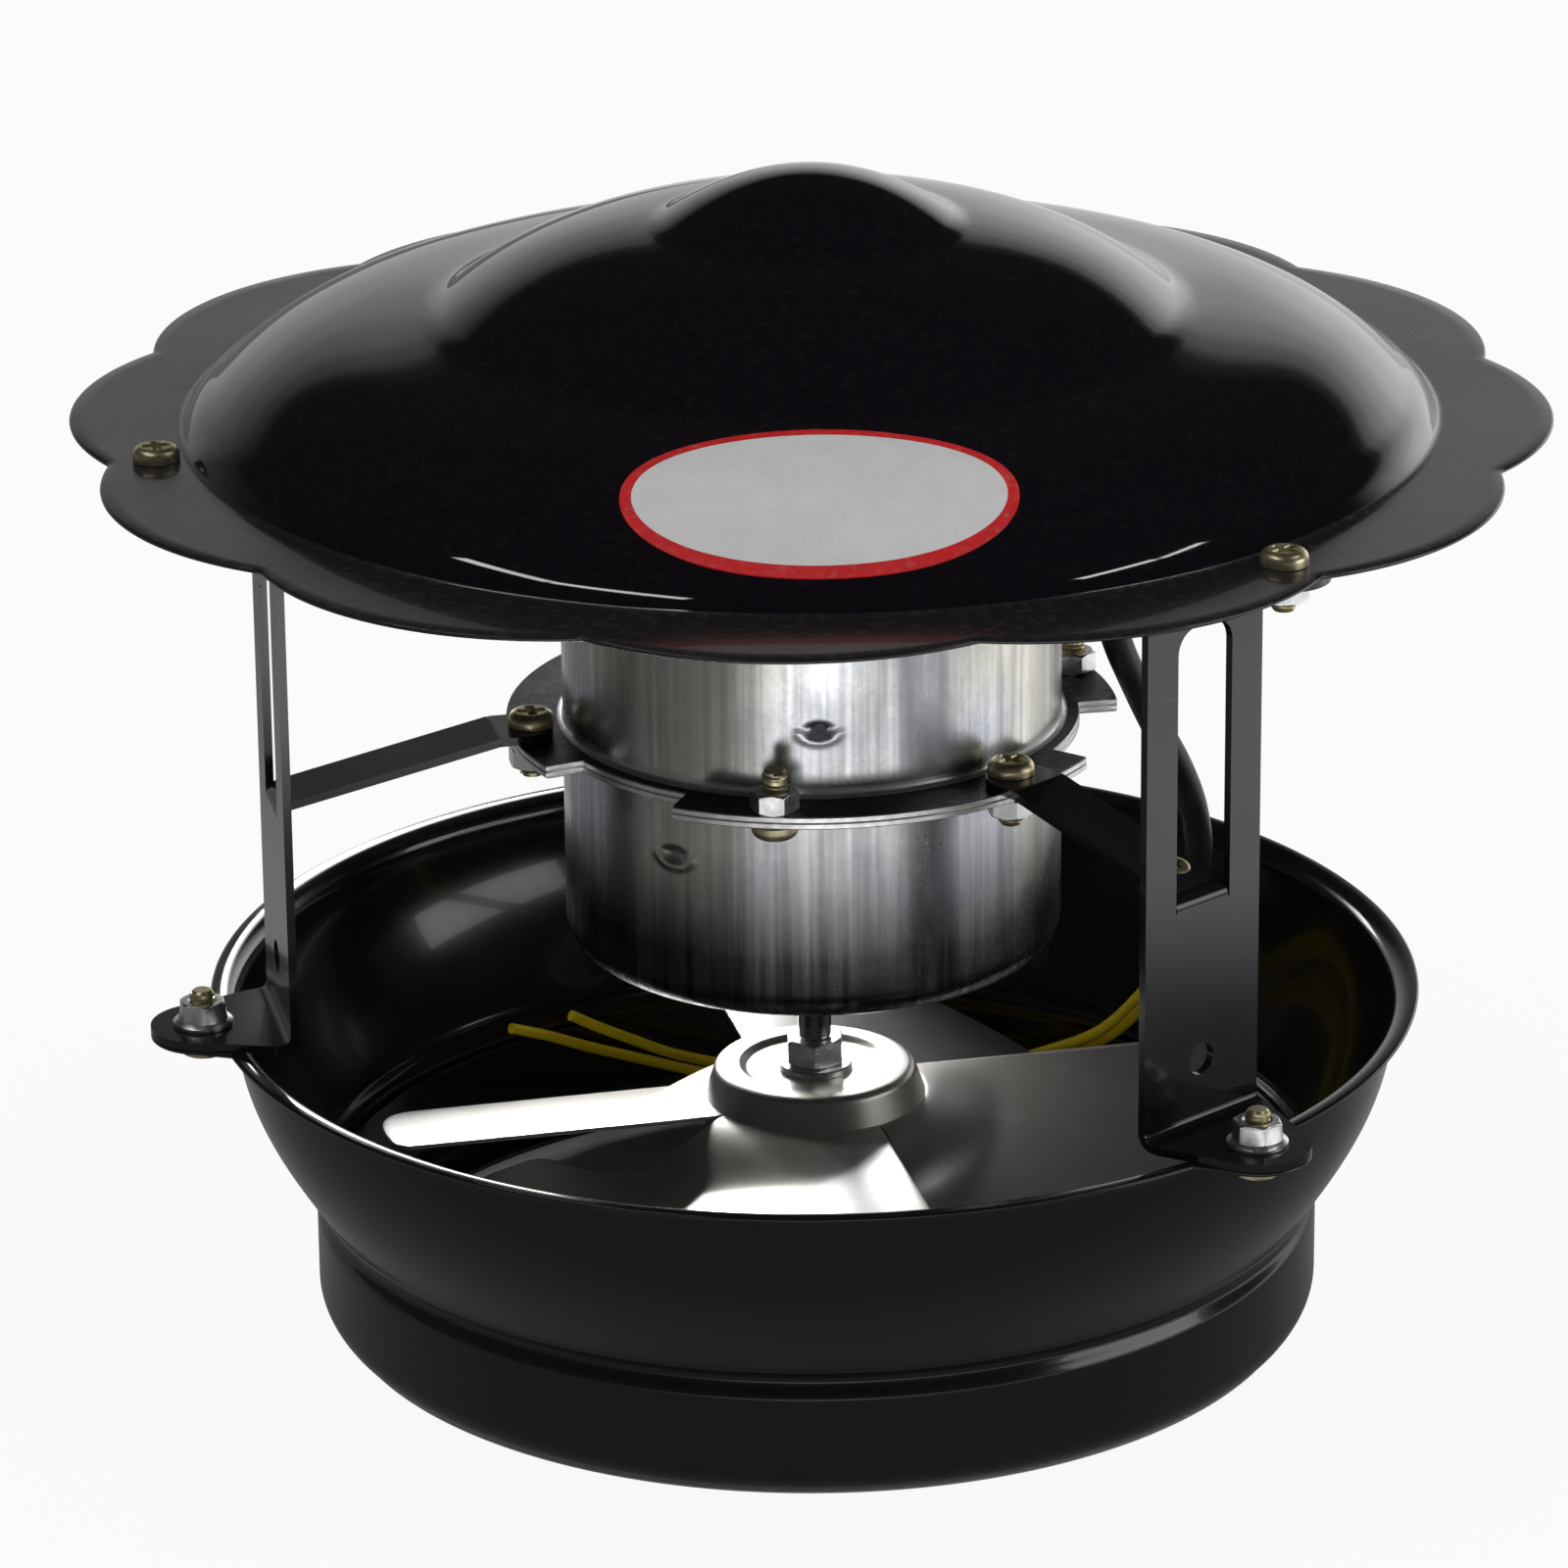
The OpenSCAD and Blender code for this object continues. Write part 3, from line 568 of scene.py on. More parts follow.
class Thread:
    """Geometry Nodes that wind a screw thread's ridge about Z."""

    def __init__(self) -> None:
        """Builds the tree."""
        tree = bpy.data.node_groups.new("Thread ridge", "GeometryNodeTree")
        self.tree = tree
        graph = NodeTree(tree)
        graph.output_socket("Geometry", "NodeSocketGeometry")
        graph.input_socket("Radius", "NodeSocketFloat", 0.003)
        graph.input_socket("Ridge", "NodeSocketFloat", 0.0004)
        graph.input_socket("Turns", "NodeSocketFloat", 4.0)
        graph.input_socket("Height", "NodeSocketFloat", 0.004)
        graph.input_socket("Finish", "NodeSocketMaterial")
        given = graph.node("NodeGroupInput").outputs
        helix = graph.node("GeometryNodeCurveSpiral")
        graph.feed(helix.inputs["Resolution"], 28)
        graph.feed(helix.inputs["Rotations"], given["Turns"])
        graph.feed(helix.inputs["Start Radius"], given["Radius"])
        graph.feed(helix.inputs["End Radius"], given["Radius"])
        graph.feed(helix.inputs["Height"], given["Height"])
        section = graph.node("GeometryNodeCurvePrimitiveCircle")
        graph.feed(section.inputs["Resolution"], 4)
        graph.feed(section.inputs["Radius"], given["Ridge"])
        swept = graph.node("GeometryNodeCurveToMesh")
        graph.feed(swept.inputs["Curve"], helix.outputs[0])
        graph.feed(swept.inputs["Profile Curve"], section.outputs[0])
        swept.inputs["Fill Caps"].default_value = True
        real = graph.node("GeometryNodeRealizeInstances")
        graph.feed(real.inputs[0], swept.outputs[0])
        finish = graph.node("GeometryNodeSetMaterial")
        graph.feed(finish.inputs["Geometry"], real.outputs[0])
        graph.feed(finish.inputs["Material"], given["Finish"])
        end = graph.node("NodeGroupOutput")
        graph.feed(end.inputs[0], finish.outputs[0])

    def wind(self, name: str, radius: float, pitch: float, low: float, high: float,
             finish: bpy.types.Material) -> bpy.types.Object:
        """Winds one ridge.

        Args:
            name: The new object's name.
            radius: The screw's outer radius in millimetres.
            pitch: The rise of one turn.
            low: The ridge's lower end.
            high: Its upper end.
            finish: Its material.

        Returns:
            The ridge as a plain mesh.
        """
        piece = add_object(name, bpy.data.meshes.new(name))
        modifier = piece.modifiers.new("ridge", "NODES")
        modifier.node_group = self.tree
        ridge = pitch * 0.36
        values = {"Radius": (radius - ridge) * MM, "Ridge": ridge * MM, "Turns": (high - low) / pitch,
                  "Height": (high - low) * MM, "Finish": finish}
        set_inputs(modifier, values)
        result = baked(piece)
        result.data.transform(Matrix.Translation((0, 0, low * MM)))
        return result


def set_inputs(modifier: bpy.types.NodesModifier, values: dict[str, object]) -> None:
    """Sets a modifier's inputs by the identifiers behind their names."""
    for item in modifier.node_group.interface.items_tree:
        if item.item_type == "SOCKET" and item.in_out == "INPUT":
            modifier[item.identifier] = values[item.name]


# Shader effects and finishes


class Effects:
    """Shader node groups that several finishes share, each built once."""

    def __init__(self) -> None:
        """Builds the groups."""
        self.mottle = self._mottle()
        self.scratches = self._scratches()
        self.dust = self._dust()

    @staticmethod
    def _start(name: str, inputs: dict[str, float], outputs: Sequence[str]) -> tuple[NodeTree, object]:
        """Starts a group that reads a vector and some values.

        Args:
            name: The group's name.
            inputs: Its values and their defaults.
            outputs: The names of what it puts out.

        Returns:
            The tree and its input sockets.
        """
        graph = NodeTree(bpy.data.node_groups.new(name, "ShaderNodeTree"))
        graph.input_socket("Vector", "NodeSocketVector")
        for label, default in inputs.items():
            graph.input_socket(label, "NodeSocketFloat", default)
        for label in outputs:
            graph.output_socket(label, "NodeSocketFloat")
        return graph, graph.node("NodeGroupInput").outputs

    def _mottle(self) -> bpy.types.NodeTree:
        """Soft clouds and fine grain, mixed to a value between Low and High."""
        graph, given = self._start("Mottle", {"Scale": 40.0, "Grain": 0.3, "Low": 0.0, "High": 1.0},
                                   ["Value"])
        clouds = graph.node("ShaderNodeTexNoise")
        graph.feed(clouds.inputs["Vector"], given["Vector"])
        graph.feed(clouds.inputs["Scale"], given["Scale"])
        clouds.inputs["Detail"].default_value = 4.0
        grain = graph.node("ShaderNodeTexNoise")
        graph.feed(grain.inputs["Vector"], given["Vector"])
        graph.feed(grain.inputs["Scale"], graph.math("MULTIPLY", given["Scale"], 14.0))
        grain.inputs["Detail"].default_value = 2.0
        spread = graph.node("ShaderNodeMapRange")
        graph.feed(spread.inputs["Value"], clouds.outputs[0])
        spread.inputs["From Min"].default_value = 0.3
        spread.inputs["From Max"].default_value = 0.7
        fine = graph.math("MULTIPLY", graph.math("SUBTRACT", grain.outputs[0], 0.5), given["Grain"])
        mixed = graph.math("ADD", spread.outputs[0], fine)
        ranged = graph.node("ShaderNodeMapRange")
        graph.feed(ranged.inputs["Value"], mixed)
        graph.feed(ranged.inputs["To Min"], given["Low"])
        graph.feed(ranged.inputs["To Max"], given["High"])
        end = graph.node("NodeGroupOutput")
        graph.feed(end.inputs["Value"], ranged.outputs[0])
        return graph.tree

    def _scratches(self) -> bpy.types.NodeTree:
        """Thin bright hairlines that run two ways across the surface."""
        graph, given = self._start("Hairlines", {"Scale": 60.0, "Amount": 0.2}, ["Mask"])
        lines = []
        for turn in ((0.4, 0.9, 0.3), (1.3, 0.2, 1.1)):
            mapping = graph.node("ShaderNodeMapping")
            graph.feed(mapping.inputs["Vector"], given["Vector"])
            mapping.inputs["Rotation"].default_value = turn
            mapping.inputs["Scale"].default_value = (1.0, 14.0, 1.0)
            texture = graph.node("ShaderNodeTexNoise")
            graph.feed(texture.inputs["Vector"], mapping.outputs[0])
            graph.feed(texture.inputs["Scale"], given["Scale"])
            texture.inputs["Detail"].default_value = 1.0
            line = graph.node("ShaderNodeMapRange")
            graph.feed(line.inputs["Value"], texture.outputs[0])
            line.inputs["From Min"].default_value = 0.70
            line.inputs["From Max"].default_value = 0.76
            lines.append(line.outputs[0])
        mask = graph.math("MULTIPLY", graph.math("MAXIMUM", *lines), given["Amount"])
        end = graph.node("NodeGroupOutput")
        graph.feed(end.inputs["Mask"], mask)
        return graph.tree

    def _dust(self) -> bpy.types.NodeTree:
        """A thin film of specks on what faces up."""
        graph, given = self._start("Dust film", {"Scale": 300.0, "Amount": 0.1}, ["Mask"])
        texture = graph.node("ShaderNodeTexNoise")
        graph.feed(texture.inputs["Vector"], given["Vector"])
        graph.feed(texture.inputs["Scale"], given["Scale"])
        texture.inputs["Detail"].default_value = 5.0
        specks = graph.node("ShaderNodeMapRange")
        graph.feed(specks.inputs["Value"], texture.outputs[0])
        specks.inputs["From Min"].default_value = 0.52
        specks.inputs["From Max"].default_value = 0.74
        normal = graph.node("ShaderNodeSeparateXYZ")
        graph.feed(normal.inputs[0], graph.node("ShaderNodeNewGeometry").outputs["Normal"])
        facing = graph.math("MAXIMUM", normal.outputs["Z"], 0.0)
        mask = graph.math("MULTIPLY", graph.math("MULTIPLY", facing, specks.outputs[0]), given["Amount"])
        end = graph.node("NodeGroupOutput")
        graph.feed(end.inputs["Mask"], mask)
        return graph.tree


Colour = tuple[float, float, float]


class Surface(NodeTree):
    """One material under construction, with its shader and its object coordinates."""

    def __init__(self, name: str, colour: Colour) -> None:
        """Starts the material.

        Args:
            name: The material's name.
            colour: The plain colour that a viewport shows.
        """
        self.material = bpy.data.materials.new(name)
        self.material.use_nodes = True
        self.material.diffuse_color = (*colour, 1.0)
        super().__init__(self.material.node_tree)
        self.shader = self.tree.nodes["Principled BSDF"]
        self.place = self.node("ShaderNodeTexCoord").outputs["Object"]

    def stretched(self, scale: Sequence[float]) -> bpy.types.NodeSocket:
        """Object coordinates scaled along the axes, for streaks."""
        mapping = self.node("ShaderNodeMapping")
        self.feed(mapping.inputs["Vector"], self.place)
        mapping.inputs["Scale"].default_value = scale
        return mapping.outputs[0]

    def noise(self, vector: bpy.types.NodeSocket, scale: float, detail: float = 2.0) -> bpy.types.NodeSocket:
        """A noise value at some coordinates."""
        texture = self.node("ShaderNodeTexNoise")
        self.feed(texture.inputs["Vector"], vector)
        texture.inputs["Scale"].default_value = scale
        texture.inputs["Detail"].default_value = detail
        return texture.outputs[0]

    def effect(self, tree: bpy.types.NodeTree, **values: object) -> bpy.types.NodeSocket:
        """Places a shared effect on the object coordinates.

        Args:
            tree: The effect's group.
            **values: Its inputs, with underscores for spaces.

        Returns:
            Its first output.
        """
        made = self.node("ShaderNodeGroup", node_tree=tree)
        self.feed(made.inputs["Vector"], self.place)
        for name, value in values.items():
            self.feed(made.inputs[name.replace("_", " ")], value)
        return made.outputs[0]

    def ranged(self, value: bpy.types.NodeSocket, low: float, high: float) -> bpy.types.NodeSocket:
        """Spreads the part of a value between low and high over 0 to 1."""
        made = self.node("ShaderNodeMapRange")
        self.feed(made.inputs["Value"], value)
        made.inputs["From Min"].default_value = low
        made.inputs["From Max"].default_value = high
        return made.outputs[0]

    def mix(self, factor: object, a: object, b: object, blend: str = "MIX") -> bpy.types.NodeSocket:
        """Mixes two colours."""
        made = self.node("ShaderNodeMix", data_type="RGBA", blend_type=blend)
        self.feed(made.inputs[0], factor)
        for socket, value in ((made.inputs[6], a), (made.inputs[7], b)):
            self.feed(socket, value if isinstance(value, bpy.types.NodeSocket) else (*value, 1.0))
        return made.outputs[2]

    def bump(self, height: bpy.types.NodeSocket, strength: float, distance: float,
             under: bpy.types.NodeSocket | None = None) -> bpy.types.NodeSocket:
        """Adds a bump.

        Args:
            height: The height value.
            strength: How much of it counts.
            distance: The height in millimetres at a value of one.
            under: A bump that lies under this one.

        Returns:
            The normal.
        """
        made = self.node("ShaderNodeBump")
        made.inputs["Strength"].default_value = strength
        made.inputs["Distance"].default_value = distance * MM
        self.feed(made.inputs["Height"], height)
        if under is not None:
            self.feed(made.inputs["Normal"], under)
        return made.outputs[0]

    def set(self, **values: object) -> bpy.types.Material:
        """Feeds the shader's sockets, named with underscores, and gives back the material."""
        for name, value in values.items():
            self.feed(self.shader.inputs[name.replace("_", " ")], value)
        return self.material


@dataclass(frozen=True)
class Enamel:
    """Black stoved enamel on pressed sheet."""

    name: str
    colour: Colour
    roughness: float
    uneven: float
    dust: float
    peel: float

    def build(self, effects: Effects) -> bpy.types.Material:
        """Builds the material."""
        s = Surface(self.name, self.colour)
        rough = s.effect(effects.mottle, Scale=22.0, Grain=0.5, Low=self.roughness,
                         High=self.roughness + self.uneven)
        lines = s.effect(effects.scratches, Scale=26.0, Amount=self.dust)
        film = s.effect(effects.dust, Scale=420.0, Amount=self.dust)
        tint = s.mix(film, self.colour, (0.28, 0.27, 0.26))
        peel = s.noise(s.place, 420.0, 1.0)
        waves = s.noise(s.place, 24.0, 1.0)
        normal = s.bump(peel, self.peel, 0.02, s.bump(waves, self.peel, 0.25))
        return s.set(Base_Color=tint, Roughness=s.math("ADD", rough, s.math("ADD", lines, film)),
                     Normal=normal, Specular_IOR_Level=0.5, Coat_Weight=0.35, Coat_Roughness=0.04)


@dataclass(frozen=True)
class SheetMetal:
    """Bare or galvanised sheet with drawing or rolling marks, and where asked a painted shade that darkens
    it towards the bottom.
    """

    name: str
    colour: Colour
    dull: Colour
    roughness: float
    uneven: float
    grain: tuple[float, float, float]
    marks: float
    warm: Colour = (1.0, 1.0, 1.0)
    cool: Colour = (1.0, 1.0, 1.0)
    wear: float = 0.15
    # The heights in metres between which the tint is painted darker towards the bottom, as painted shade;
    # equal heights leave it out.
    painted_shade: Point2 = (0.0, 0.0)

    def build(self, effects: Effects) -> bpy.types.Material:
        """Builds the material."""
        s = Surface(self.name, self.colour)
        along = s.stretched(self.grain)
        streaks = s.ranged(s.noise(along, 420.0, 3.0), 0.36, 0.64)
        broad = s.ranged(s.noise(along, 70.0, 2.0), 0.34, 0.66)
        clouds = s.effect(effects.mottle, Scale=34.0, Grain=0.6, Low=0.0, High=1.0)
        lines = s.effect(effects.scratches, Scale=40.0, Amount=self.wear)
        share = s.math("ADD", s.math("MULTIPLY", streaks, 0.4), s.math("MULTIPLY", broad, 0.3))
        share = s.math("ADD", share, s.math("MULTIPLY", clouds, 0.3))
        tint = s.mix(share, self.colour, self.dull)
        hue = s.ranged(s.noise(s.place, 26.0, 1.0), 0.4, 0.6)
        tint = s.mix(1.0, tint, s.mix(hue, self.warm, self.cool), "MULTIPLY")
        # Painted shade: below the upper height the tint darkens towards dark grey at the lower one, broken
        # up by the streaks, standing in for the shade low on the motor.
        if self.painted_shade[0] > self.painted_shade[1]:
            height = s.node("ShaderNodeSeparateXYZ")
            s.feed(height.inputs[0], s.place)
            film = s.math("SUBTRACT", 1.0, s.ranged(height.outputs["Z"], self.painted_shade[1], self.painted_shade[0]))
            ragged_shade = s.math("MULTIPLY", film, s.math("ADD", s.math("MULTIPLY", streaks, 0.25), 0.75))
            tint = s.mix(ragged_shade, tint, (0.06, 0.065, 0.075))
        rough = s.effect(effects.mottle, Scale=60.0, Grain=0.8, Low=self.roughness,
                         High=self.roughness + self.uneven)
        rough = s.math("ADD", rough, s.math("MULTIPLY", s.math("SUBTRACT", streaks, 0.5), self.uneven / 2))
        normal = s.bump(streaks, self.marks, 0.03, s.bump(broad, self.marks, 0.2))
        return s.set(Base_Color=tint, Metallic=1.0, Roughness=s.math("ADD", rough, lines), Normal=normal)


@dataclass(frozen=True)
class Plating:
    """Zinc plating on turned or rolled steel."""

    name: str
    colour: Colour
    second: Colour
    roughness: float

    def build(self, effects: Effects) -> bpy.types.Material:
        """Builds the material."""
        s = Surface(self.name, self.colour)
        clouds = s.effect(effects.mottle, Scale=260.0, Grain=0.4, Low=0.0, High=1.0)
        tint = s.mix(clouds, self.colour, self.second)
        rough = s.effect(effects.mottle, Scale=500.0, Grain=0.6, Low=self.roughness,
                         High=self.roughness + 0.14)
        normal = s.bump(s.noise(s.place, 1500.0, 2.0), 0.25, 0.02)
        return s.set(Base_Color=tint, Metallic=1.0, Roughness=rough, Normal=normal)


@dataclass(frozen=True)
class Polymer:
    """Plastic film, rubber or cable insulation."""

    name: str
    colour: Colour
    second: Colour
    roughness: float
    ribs: float = 0.0

    def build(self, effects: Effects) -> bpy.types.Material:
        """Builds the material."""
        s = Surface(self.name, self.colour)
        clouds = s.effect(effects.mottle, Scale=120.0, Grain=0.6, Low=0.0, High=1.0)
        film = s.effect(effects.dust, Scale=500.0, Amount=0.15)
        tint = s.mix(film, s.mix(clouds, self.colour, self.second), (0.45, 0.43, 0.40))
        rough = s.effect(effects.mottle, Scale=300.0, Grain=0.5, Low=self.roughness,
                         High=self.roughness + 0.1)
        normal = s.bump(s.noise(s.place, 900.0, 2.0), 0.2, 0.02)
        if self.ribs:
            weave = s.node("ShaderNodeTexVoronoi")
            weave.inputs["Scale"].default_value = 1400.0
            s.feed(weave.inputs["Vector"], s.place)
            normal = s.bump(weave.outputs["Distance"], self.ribs, 0.15, normal)
        return s.set(Base_Color=tint, Roughness=rough, Normal=normal, Specular_IOR_Level=0.5)


@dataclass
class Finishes:
    """Every finish of the object."""

    effects: Effects = field(default_factory=Effects)

    def __post_init__(self) -> None:
        """Builds the materials."""
        recipes = {
            "cap": Enamel("black gloss enamel", (0.005, 0.004, 0.006), 0.03, 0.03, 0.015, 0.04),
            "brim": Enamel("black brim enamel", (0.012, 0.011, 0.012), 0.20, 0.10, 0.06, 0.08),
            "basin": Enamel("black satin enamel", (0.006, 0.005, 0.006), 0.13, 0.10, 0.02, 0.06),
            "leg": Enamel("black leg enamel", (0.006, 0.005, 0.006), 0.13, 0.08, 0.02, 0.06),
            # The galvanised shell gets painted shade on the lower shell, darker from 137 mm down to 108 mm.
            "shell": SheetMetal("galvanised drawn sheet", (0.94, 0.94, 0.96), (0.40, 0.41, 0.43),
                                0.23, 0.12, (1.0, 1.0, 0.03), 0.14, (1.0, 0.97, 0.86), (0.93, 0.95, 1.0),
                                wear=0.04, painted_shade=(0.137, 0.108)),
            # The flange's flat faces are painted dark, standing in for a reflection of the cap's dark
            # underside.
            "flange": SheetMetal("dark flange sheet", (0.055, 0.055, 0.058), (0.03, 0.03, 0.032),
                                 0.22, 0.14, (1.0, 1.0, 1.0), 0.2),
            # The bright cut-edge finish also serves as a painted highlight along the upper shell's foot
            # fillet.
            "cut": SheetMetal("bright cut edge", (0.95, 0.95, 0.94), (0.72, 0.72, 0.72),
                              0.30, 0.10, (1.0, 1.0, 1.0), 0.2),
            "fan": SheetMetal("bright rolled sheet", (0.92, 0.91, 0.88), (0.84, 0.83, 0.80),
                              0.34, 0.03, (0.3, 1.0, 1.0), 0.0, (1.0, 0.98, 0.94), (0.98, 0.98, 1.0),
                              wear=0.02),
            "steel": SheetMetal("ground steel", (0.66, 0.66, 0.66), (0.5, 0.5, 0.5),
                                0.16, 0.08, (1.0, 1.0, 6.0), 0.2),
            "core": SheetMetal("stacked core steel", (0.22, 0.22, 0.23), (0.12, 0.12, 0.13),
                               0.5, 0.2, (0.2, 0.2, 12.0), 0.6),
            "white_zinc": Plating("white zinc plating", (0.95, 0.96, 0.97), (0.78, 0.79, 0.81), 0.24),
            "yellow_zinc": Plating("yellow zinc plating", (0.90, 0.82, 0.56), (0.60, 0.52, 0.28), 0.30),
            "label": Polymer("white label film", (0.70, 0.70, 0.70), (0.65, 0.65, 0.65), 0.28),
            "border": Polymer("red label border", (0.66, 0.012, 0.016), (0.56, 0.01, 0.014), 0.3),
            "rubber": Polymer("black rubber", (0.016, 0.016, 0.017), (0.024, 0.024, 0.024), 0.55),
            "sleeve": Polymer("black glass sleeving", (0.012, 0.012, 0.012), (0.022, 0.021, 0.02),
                              0.34, 0.3),
            "lead": Polymer("yellow insulation", (0.88, 0.66, 0.008), (0.80, 0.58, 0.006), 0.32),
            "copper": Plating("varnished copper", (0.60, 0.24, 0.10), (0.42, 0.15, 0.06), 0.3),
        }
        self.made = {key: recipe.build(self.effects) for key, recipe in recipes.items()}

    def __getitem__(self, key: str) -> bpy.types.Material:
        """Gives a finish by its short name."""
        return self.made[key]


def dress(piece: bpy.types.Object, *materials: bpy.types.Material) -> None:
    """Gives a piece its materials in place of those that it has."""
    piece.data.materials.clear()
    for material in materials:
        piece.data.materials.append(material)


def mount(piece: bpy.types.Object, body: Body, slot: str, *nodes: str) -> None:
    """Rides a piece on its body and hides the nodes that it stands for.

    Args:
        piece: The piece.
        body: The body that carries it.
        slot: A material slot's name; not used.
        *nodes: The nodes that it replaces.
    """
    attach(piece, body.value)
    if nodes:
        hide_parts(*nodes)
    LOG.info("%s: %d faces on %s", piece.name, len(piece.data.polygons), body.value)


# Sub-assemblies


@dataclass
class Layout:
    """Sizes that more than one sub-assembly uses."""

    leg_azimuth: float = 312.6
    leg_count: int = 3
    rim_z: float = 81.7
    brim_z: float = 224.7
    cap_thickness: float = 1.2
    leg_thickness: float = 2.0
    joint_z: float = 148.5
    shell_thickness: float = 1.5
    foot_circle: float = 148.6
    brim_circle: float = 154.4
    lobe_circle: float = 68.0
    lobe_bolt_angle: float = 50.0

    @property
    def leg_azimuths(self) -> list[float]:
        """The azimuths of the three legs, the right one first."""
        return [(self.leg_azimuth + 360 * i / self.leg_count) % 360 for i in range(self.leg_count)]

    @property
    def arm_top_z(self) -> float:
        """The height of the arms' flat ends."""
        return self.joint_z + self.shell_thickness + self.leg_thickness

    @property
    def tab_top_z(self) -> float:
        """The height of the foot tabs' upper faces."""
        return self.rim_z + self.leg_thickness

    @property
    def top_tab_z(self) -> float:
        """The height of the upper tabs' lower faces."""
        return self.brim_z - self.cap_thickness - self.leg_thickness


@dataclass
class Cables:
    """The black sleeve from the motor's top and the two yellow leads that leave it."""

    sleeve_diameter: float = 7.3
    lead_diameter: float = 2.8
    sleeve_route: tuple[tuple[float, float, float], ...] = (
        (28, 0, 204), (28, 0, 211), (30, 0, 219), (36, 0, 226), (45, 1, 228), (54, 2, 224),
        (60, 3, 215), (64, 4, 203), (67, 5, 190), (70, 8, 176), (73, 13, 162), (78, 20, 148),
        (83, 28, 135), (89, 37, 121), (93, 45, 108), (95, 53, 95), (95, 61, 83), (94, 67, 75))
    outer_route: tuple[tuple[float, float, float], ...] = (
        (95, 68, 74), (95, 73, 65), (92, 79, 53), (85, 84, 40), (75, 89, 28), (63, 98, 20),
        (48, 106, 13), (30, 112, 8), (10, 116, 5), (-10, 116, 6), (-28, 112, 9), (-44, 107, 15),
        (-58, 99, 22), (-68, 92, 28), (-77, 85, 33))
    inner_route: tuple[tuple[float, float, float], ...] = (
        (92, 66, 74), (91, 70, 65), (88, 76, 53), (81, 81, 41), (72, 87, 30), (59, 96, 21),
        (45, 102, 15), (28, 108, 10), (10, 112, 8), (-9, 112, 9), (-25, 109, 13), (-37, 104, 18),
        (-47, 99, 24), (-55, 95, 29), (-62, 91, 34))

    def _cord(self, name: str, route: Sequence[Sequence[float]], diameter: float,
              finish: bpy.types.Material) -> tuple[bpy.types.Object, float]:
        """Makes one cord as a smooth curve through its route.

        Args:
            name: The object's name.
            route: The points in millimetres.
            diameter: The cord's diameter in millimetres.
            finish: Its material.

        Returns:
            The curve and its length in metres.
        """
        points = smooth_route([Vector(p) * MM for p in route], 6)
        curve = bpy.data.curves.new(name, "CURVE")
        curve.dimensions = "3D"
        curve.bevel_depth = diameter / 2 * MM
        curve.bevel_resolution = 5
        curve.use_fill_caps = True
        spline = curve.splines.new("POLY")
        spline.points.add(len(points) - 1)
        for spot, point in zip(spline.points, points):
            spot.co = (*point, 1.0)
        spline.use_smooth = True
        curve.materials.append(finish)
        piece = bpy.data.objects.new(name, curve)
        bpy.context.scene.collection.objects.link(piece)
        return piece, sum((b - a).length for a, b in zip(points, points[1:]))

    def build(self, finishes: Finishes) -> None:
        plan = (("motor_sleeve", self.sleeve_route, self.sleeve_diameter, "sleeve", "black_sleeving",
                 "cable_sleeve", "medium", "hanging"),
                ("yellow_lead_outer", self.outer_route, self.lead_diameter, "lead",
                 "yellow_insulation", "lead_outer", "limp", "loose"),
                ("yellow_lead_inner", self.inner_route, self.lead_diameter, "lead",
                 "yellow_insulation", "lead_inner", "limp", "loose"))
        for name, route, diameter, finish, slot, node, stiffness, lay in plan:
            piece, length = self._cord(name, route, diameter, finishes[finish])
            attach(piece, Body.FRAME.value)
            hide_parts(node)
            LOG.info("%s: %.0f mm long", name, length / MM)


def smooth_route(points: Sequence[Vector], steps: int) -> list[Vector]:
    """Adds points on a smooth curve through a route.

    Args:
        points: The route.
        steps: How many points each stretch gets.

    Returns:
        The finer route, with the same ends.
    """
    ends = [points[0] * 2 - points[1], *points, points[-1] * 2 - points[-2]]
    result = []
    for p0, p1, p2, p3 in zip(ends, ends[1:], ends[2:], ends[3:]):
        for i in range(steps):
            t = i / steps
            result.append(0.5 * (2 * p1 + (p2 - p0) * t + (2 * p0 - 5 * p1 + 4 * p2 - p3) * t * t
                                 + (3 * p1 - p0 - 3 * p2 + p3) * t**3))
    result.append(points[-1].copy())
    return result


